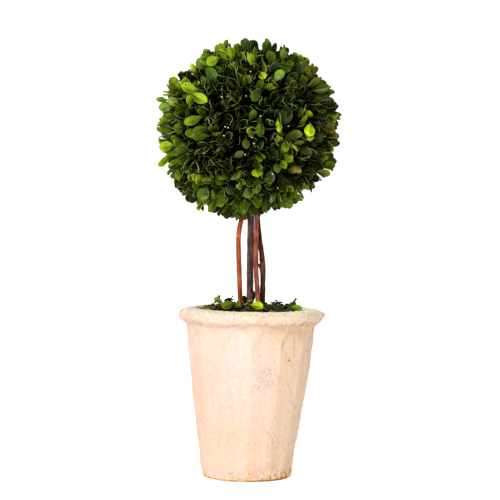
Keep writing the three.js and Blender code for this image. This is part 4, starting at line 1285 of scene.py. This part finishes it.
def litter():
    """Loose leaves and bits on top of the filling: the ones that stand out, then a scatter."""
    draw = np.random.default_rng(404)
    leaves, twigs, clear = [], [], []

    def put(foot, way, face, long, tone, share=0):
        way = unit(way)
        face = np.asarray(face, float)
        face = unit(face - way * (face @ way))
        leaves.append((np.array(foot, float), way, face, long, COLOUR_NAMES.index(tone) if isinstance(tone, str) else tone, True, share))

    def show(foot, end, y, face, tone, share, slope=0.0):
        """A leaf whose foot and tip are seen at these places, with room kept in front of it."""
        k = (1600 + y) / 1600
        a = np.array([3.9 + (foot[0] - 3.9) * k, y, 300 + (foot[1] - 300) * k])
        b = np.array([3.9 + (end[0] - 3.9) * k, y + slope, 300 + (end[1] - 300) * k])
        long = float(np.linalg.norm(b - a))
        put(a, b - a, face, long, tone, share)
        half = long * share / 2
        clear.append((min(foot[0], end[0]) - 0.5, max(foot[0], end[0]) + 0.5, min(foot[1], end[1]) - half, max(foot[1], end[1]) + half, y))

    def hides(points):
        for q in points:
            sx, sz = seen_from_front(q)
            if any(x0 < sx < x1 and z0 < sz < z1 and q[1] < y + 1.5 for x0, x1, z0, z1, y in clear):
                return True
        return False

    # Foot and tip as seen, depth, the way that it faces, colour and width.
    show((3.2, 178.6), (18.4, 176.6), -43, (0.02, -0.86, 0.50), "yellow", 0.66)
    show((-11.6, 180.6), (-26.2, 176.2), -39, (-0.05, -0.90, 0.40), "dull_mid", 0.64)
    show((-24.0, 181.0), (-34.5, 184.0), -24, (0.1, -0.86, 0.44), "fresh", 0.62)
    show((-33.6, 179.0), (-27.8, 188.8), -22, (0.75, -0.55, -0.3), "pine", 0.50)
    show((-12.8, 184.2), (-23.4, 183.6), -22, (0.0, -0.70, 0.70), "deep", 0.55)
    show((-0.6, 179.6), (-3.0, 188.4), 6, (-0.25, -0.95, 0.1), "pine", 0.70)
    show((-1.4, 178.6), (8.4, 182.2), -34, (0.1, 0.35, 0.93), "lime", 0.40)
    show((44.0, 176.6), (58.6, 175.2), -30, (0.05, -0.86, 0.50), "dull_fresh", 0.56)
    show((43.0, 177.8), (52.4, 180.4), -20, (-0.05, -0.78, 0.62), "mid", 0.55)
    show((-43.8, 173.8), (-36.2, 172.0), -30, (0.0, -0.6, 0.8), "lime", 0.42)
    show((-10.4, 177.6), (-7.6, 184.0), -20, (-0.4, -0.85, 0.3), "fresh", 0.50)
    show((6.6, 180.0), (7.4, 193.6), 9, (-0.1, -1.0, 0.1), "mid", 0.42)
    show((-16.0, 176.0), (-5.0, 178.4), -36, (0.1, -0.75, 0.6), "mid", 0.45)
    show((30.6, 175.2), (40.0, 178.0), -36, (0.0, -0.7, 0.7), "deep", 0.45)
    show((20.6, 177.6), (31.0, 176.2), -34, (0.0, -0.75, 0.65), "dark", 0.50)
    twigs.append(([(-18.6, -2, 182.5), (-16.2, -2, 185.2), (-13.9, -1, 188.4)][::-1], 0.55, 0.45))
    twigs.append(([(45.6, -24, 179.2), (48.9, -23, 183.0), (51.8, -22, 186.6)], 0.8, 1.1))
    twigs.append(([(30.4, -6, 184.4), (32.6, -7, 182.0), (35.6, -8, 179.0)], 0.7, 0.9))
    twigs.append(([(-38.5, -26, 176.0), (-35.5, -26, 181.0), (-31.5, -26, 184.6)], 0.5, 0.4))

    def mouth(x, y):
        return math.hypot(x - POT_LEAN + 1.3, y)

    tones = ["deep", "deep", "deep", "deep", "dark", "dark", "pine", "pine", "mid", "olive", "rusty"]
    for k in range(240):
        ring = k >= 150
        a = draw.uniform(0, 2 * math.pi)
        r = draw.uniform(44, 53) if ring else 49 * math.sqrt(draw.random())
        x, y = POT_LEAN - 1.3 + r * math.sin(a), r * math.cos(a)
        z = float(fill_top(np.array([x]), np.array([y]))[0]) + (draw.uniform(1.6, 5.2) if ring else draw.uniform(0.6, 3.4))
        h = a + draw.choice([-1, 1]) * (math.pi / 2 + draw.normal(0.15, 0.3)) if ring else draw.uniform(0, 2 * math.pi)
        way = unit([math.sin(h), math.cos(h), draw.normal(0.05, 0.16 if ring else 0.22)])
        face = unit([draw.normal(0, 0.35), draw.normal(-0.25, 0.4), 1.0])
        long = draw.uniform(7, 12.5)
        tone = tones[draw.integers(len(tones))]
        foot = np.array([x, y, z])
        if mouth(*(foot + way * long)[:2]) > 53.6:
            way = unit([POT_LEAN - x, -y, way[2] * 30])
        if stem_clear((x, y, 180)) < 4.5 or stem_clear((x + way[0] * long * 0.6, y + way[1] * long * 0.6, 180)) < 5.0:
            continue
        if hides([foot + way * long * t for t in (0, 0.35, 0.7, 1.0)]):
            continue
        put(foot, way, face, long, tone)
    for _ in range(90):
        a, r = draw.uniform(0, 2 * math.pi), 50 * math.sqrt(draw.random())
        x, y = POT_LEAN - 1.3 + r * math.sin(a), r * math.cos(a)
        if stem_clear((x, y, 180)) < 6:
            continue
        z = float(fill_top(np.array([x]), np.array([y]))[0]) + draw.uniform(0.5, 3.2)
        h, long = draw.uniform(0, 2 * math.pi), draw.uniform(4, 10)
        way = unit([math.cos(h), math.sin(h), draw.normal(0.05, 0.25)]) * long
        p = np.array([x, y, z])
        if mouth(*(p + way)[:2]) > 53:
            way = -way
        if hides([p, p + way * 0.5, p + way]):
            continue
        twigs.append(([p, p + way * 0.5 + draw.normal(0, 0.3, 3), p + way], 0.6, 0.4))
    return leaves, twigs


# ------------------------------------------------------------------ assembly
def add(ob, node):
    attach(ob, "root")
    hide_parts(node)
    return ob


# The camera stands where the photographer's did, a little above the pot's lip.
scene = bpy.context.scene
camera = bpy.data.objects.new("camera", bpy.data.cameras.new("camera"))
scene.collection.objects.link(camera)
camera.location = (0.0039, -1.6, 0.290)
camera.rotation_mode = "QUATERNION"
camera.rotation_quaternion = (Vector((0.0039, 0.0, 0.2363)) - camera.location).to_track_quat("-Z", "Y")
camera.data.lens = 109.9
camera.data.sensor_width = 36.0
camera.data.clip_start = 0.05
camera.data.clip_end = 50.0
camera.data.dof.use_dof = False
scene.camera = camera

add(make_pot(), "pot")

peat_material = peat()
add(make_fill(peat_material), "pot_fill")

grey = bark("bark_grey", (0.088, 0.056, 0.046), (0.019, 0.011, 0.010), (0.19, 0.135, 0.105))
orange = bark(
    "bark_orange", (0.250, 0.060, 0.019), (0.075, 0.016, 0.006), (0.35, 0.115, 0.048), rough=0.45, streak=0.7, rings=[(0.2508, 0.0022)]
)
red = bark("bark_red", (0.215, 0.050, 0.028), (0.065, 0.014, 0.008), (0.37, 0.15, 0.10), rough=0.45, streak=0.9)
dark = bark("bark_dark", (0.060, 0.022, 0.015), (0.012, 0.005, 0.004), (0.16, 0.075, 0.052))
add(make_stem("stem_centre", grey, 301, 1.2, [(212, 0.3, 3, 0.4), (246, 0.25, 2.5, 2.5)]), "stem_centre")
add(
    make_stem("stem_left", orange, 311, 0.8, [(250.5, 0.35, 1.5, 3.0), (215, 0.15, 2.0, 0.0), (238, -0.12, 3, 0.0)]),
    "stem_left",
)
add(make_stem("stem_right", red, 321, 0.9, [(232, 0.25, 2.0, 0.5), (205, 0.2, 2.0, 2.0)]), "stem_right")
knots = [(217, 0.85, 5.0, 0.3), (226, 0.5, 2.2, 0.0), (241, 0.55, 2.6, 0.2), (234, -0.25, 2.5, 0.0), (196, 0.3, 3.0, 1.0), (252, 0.3, 2.5, 0.0)]
stub = ((17.0, 0.6, 214.6), (12.6, -0.2, 221.8), 1.7, 1.0)
add(make_stem("stem_bowed", dark, 331, 1.5, knots, stub), "stem_bowed")

leaf_mats = leaf_materials()
ball_leaves, ball_twigs = grow_ball()
ball_leaves = [(*leaf[:5], leaf[5] > 76, leaf[6]) for leaf in ball_leaves]
for piece in leaf_pieces("leaves", ball_leaves, leaf_mats, 7):
    add(piece, "foliage_ball")
twig_bark = plain("twig_bark", (0.045, 0.036, 0.012), roughness=0.6, specular=0.2)
cut_ends, stalks = make_cut_ends(plain("cut_wood", (0.62, 0.60, 0.42), roughness=0.7, specular=0.2))
add(cut_ends, "foliage_ball")
add(twig_piece("sprig_twigs", ball_twigs + stalks, twig_bark), "foliage_ball")
add(make_core(), "foliage_ball")

loose_leaves, loose_twigs = litter()
for piece in leaf_pieces("loose_leaves", loose_leaves, leaf_mats, 17):
    add(piece, "pot_fill")
add(twig_piece("loose_twigs", loose_twigs, plain("loose_twig_bark", (0.05, 0.06, 0.02), roughness=0.6, specular=0.2), sides=8, spacing=2.0), "pot_fill")

# ------------------------------------------------------------------ stage
floor = make_mesh(
    "floor",
    np.array([[-4000, -4000, 0], [4000, -4000, 0], [4000, 4000, 0], [-4000, 4000, 0]], float),
    [np.array([[0, 1, 2, 3]])],
    [plain("white_floor", (0.96, 0.96, 0.96), roughness=0.9, specular=0.0, glow=0.12)],
    smooth_faces=False,
)
floor.location.z = -0.0002
floor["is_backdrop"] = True

world = bpy.data.worlds.new("studio")
scene.world = world
world.use_nodes = True
world.node_tree.nodes["Background"].inputs["Color"].default_value = (1.0, 1.0, 1.0, 1.0)
world.node_tree.nodes["Background"].inputs["Strength"].default_value = 0.76


def softbox(name, place, target, size, watts, colour=(1, 1, 1)):
    lamp = bpy.data.lights.new(name, "AREA")
    lamp.shape = "DISK"
    lamp.size = size
    lamp.energy = watts
    lamp.color = colour
    ob = bpy.data.objects.new(name, lamp)
    scene.collection.objects.link(ob)
    ob.location = place
    ob.rotation_mode = "QUATERNION"
    ob.rotation_quaternion = (Vector(target) - Vector(place)).to_track_quat("-Z", "Y")
    return ob


softbox("key_light", (-0.85, -1.75, 1.30), (0, 0, 0.28), 0.9, 27)
scene.view_settings.view_transform = "Standard"
scene.view_settings.look = "High Contrast"
scene.view_settings.exposure = 0.0
scene.view_settings.gamma = 1.0

print("leaves", len(ball_leaves), "twigs", len(ball_twigs), "loose", len(loose_leaves))
total = 0
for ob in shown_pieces():
    tris = sum(len(p.vertices) - 2 for p in ob.data.polygons) if ob.type == "MESH" and len(ob.data.polygons) < 400000 else 0
    total += tris
    print("piece", ob.name, tris)
print("triangles", total)
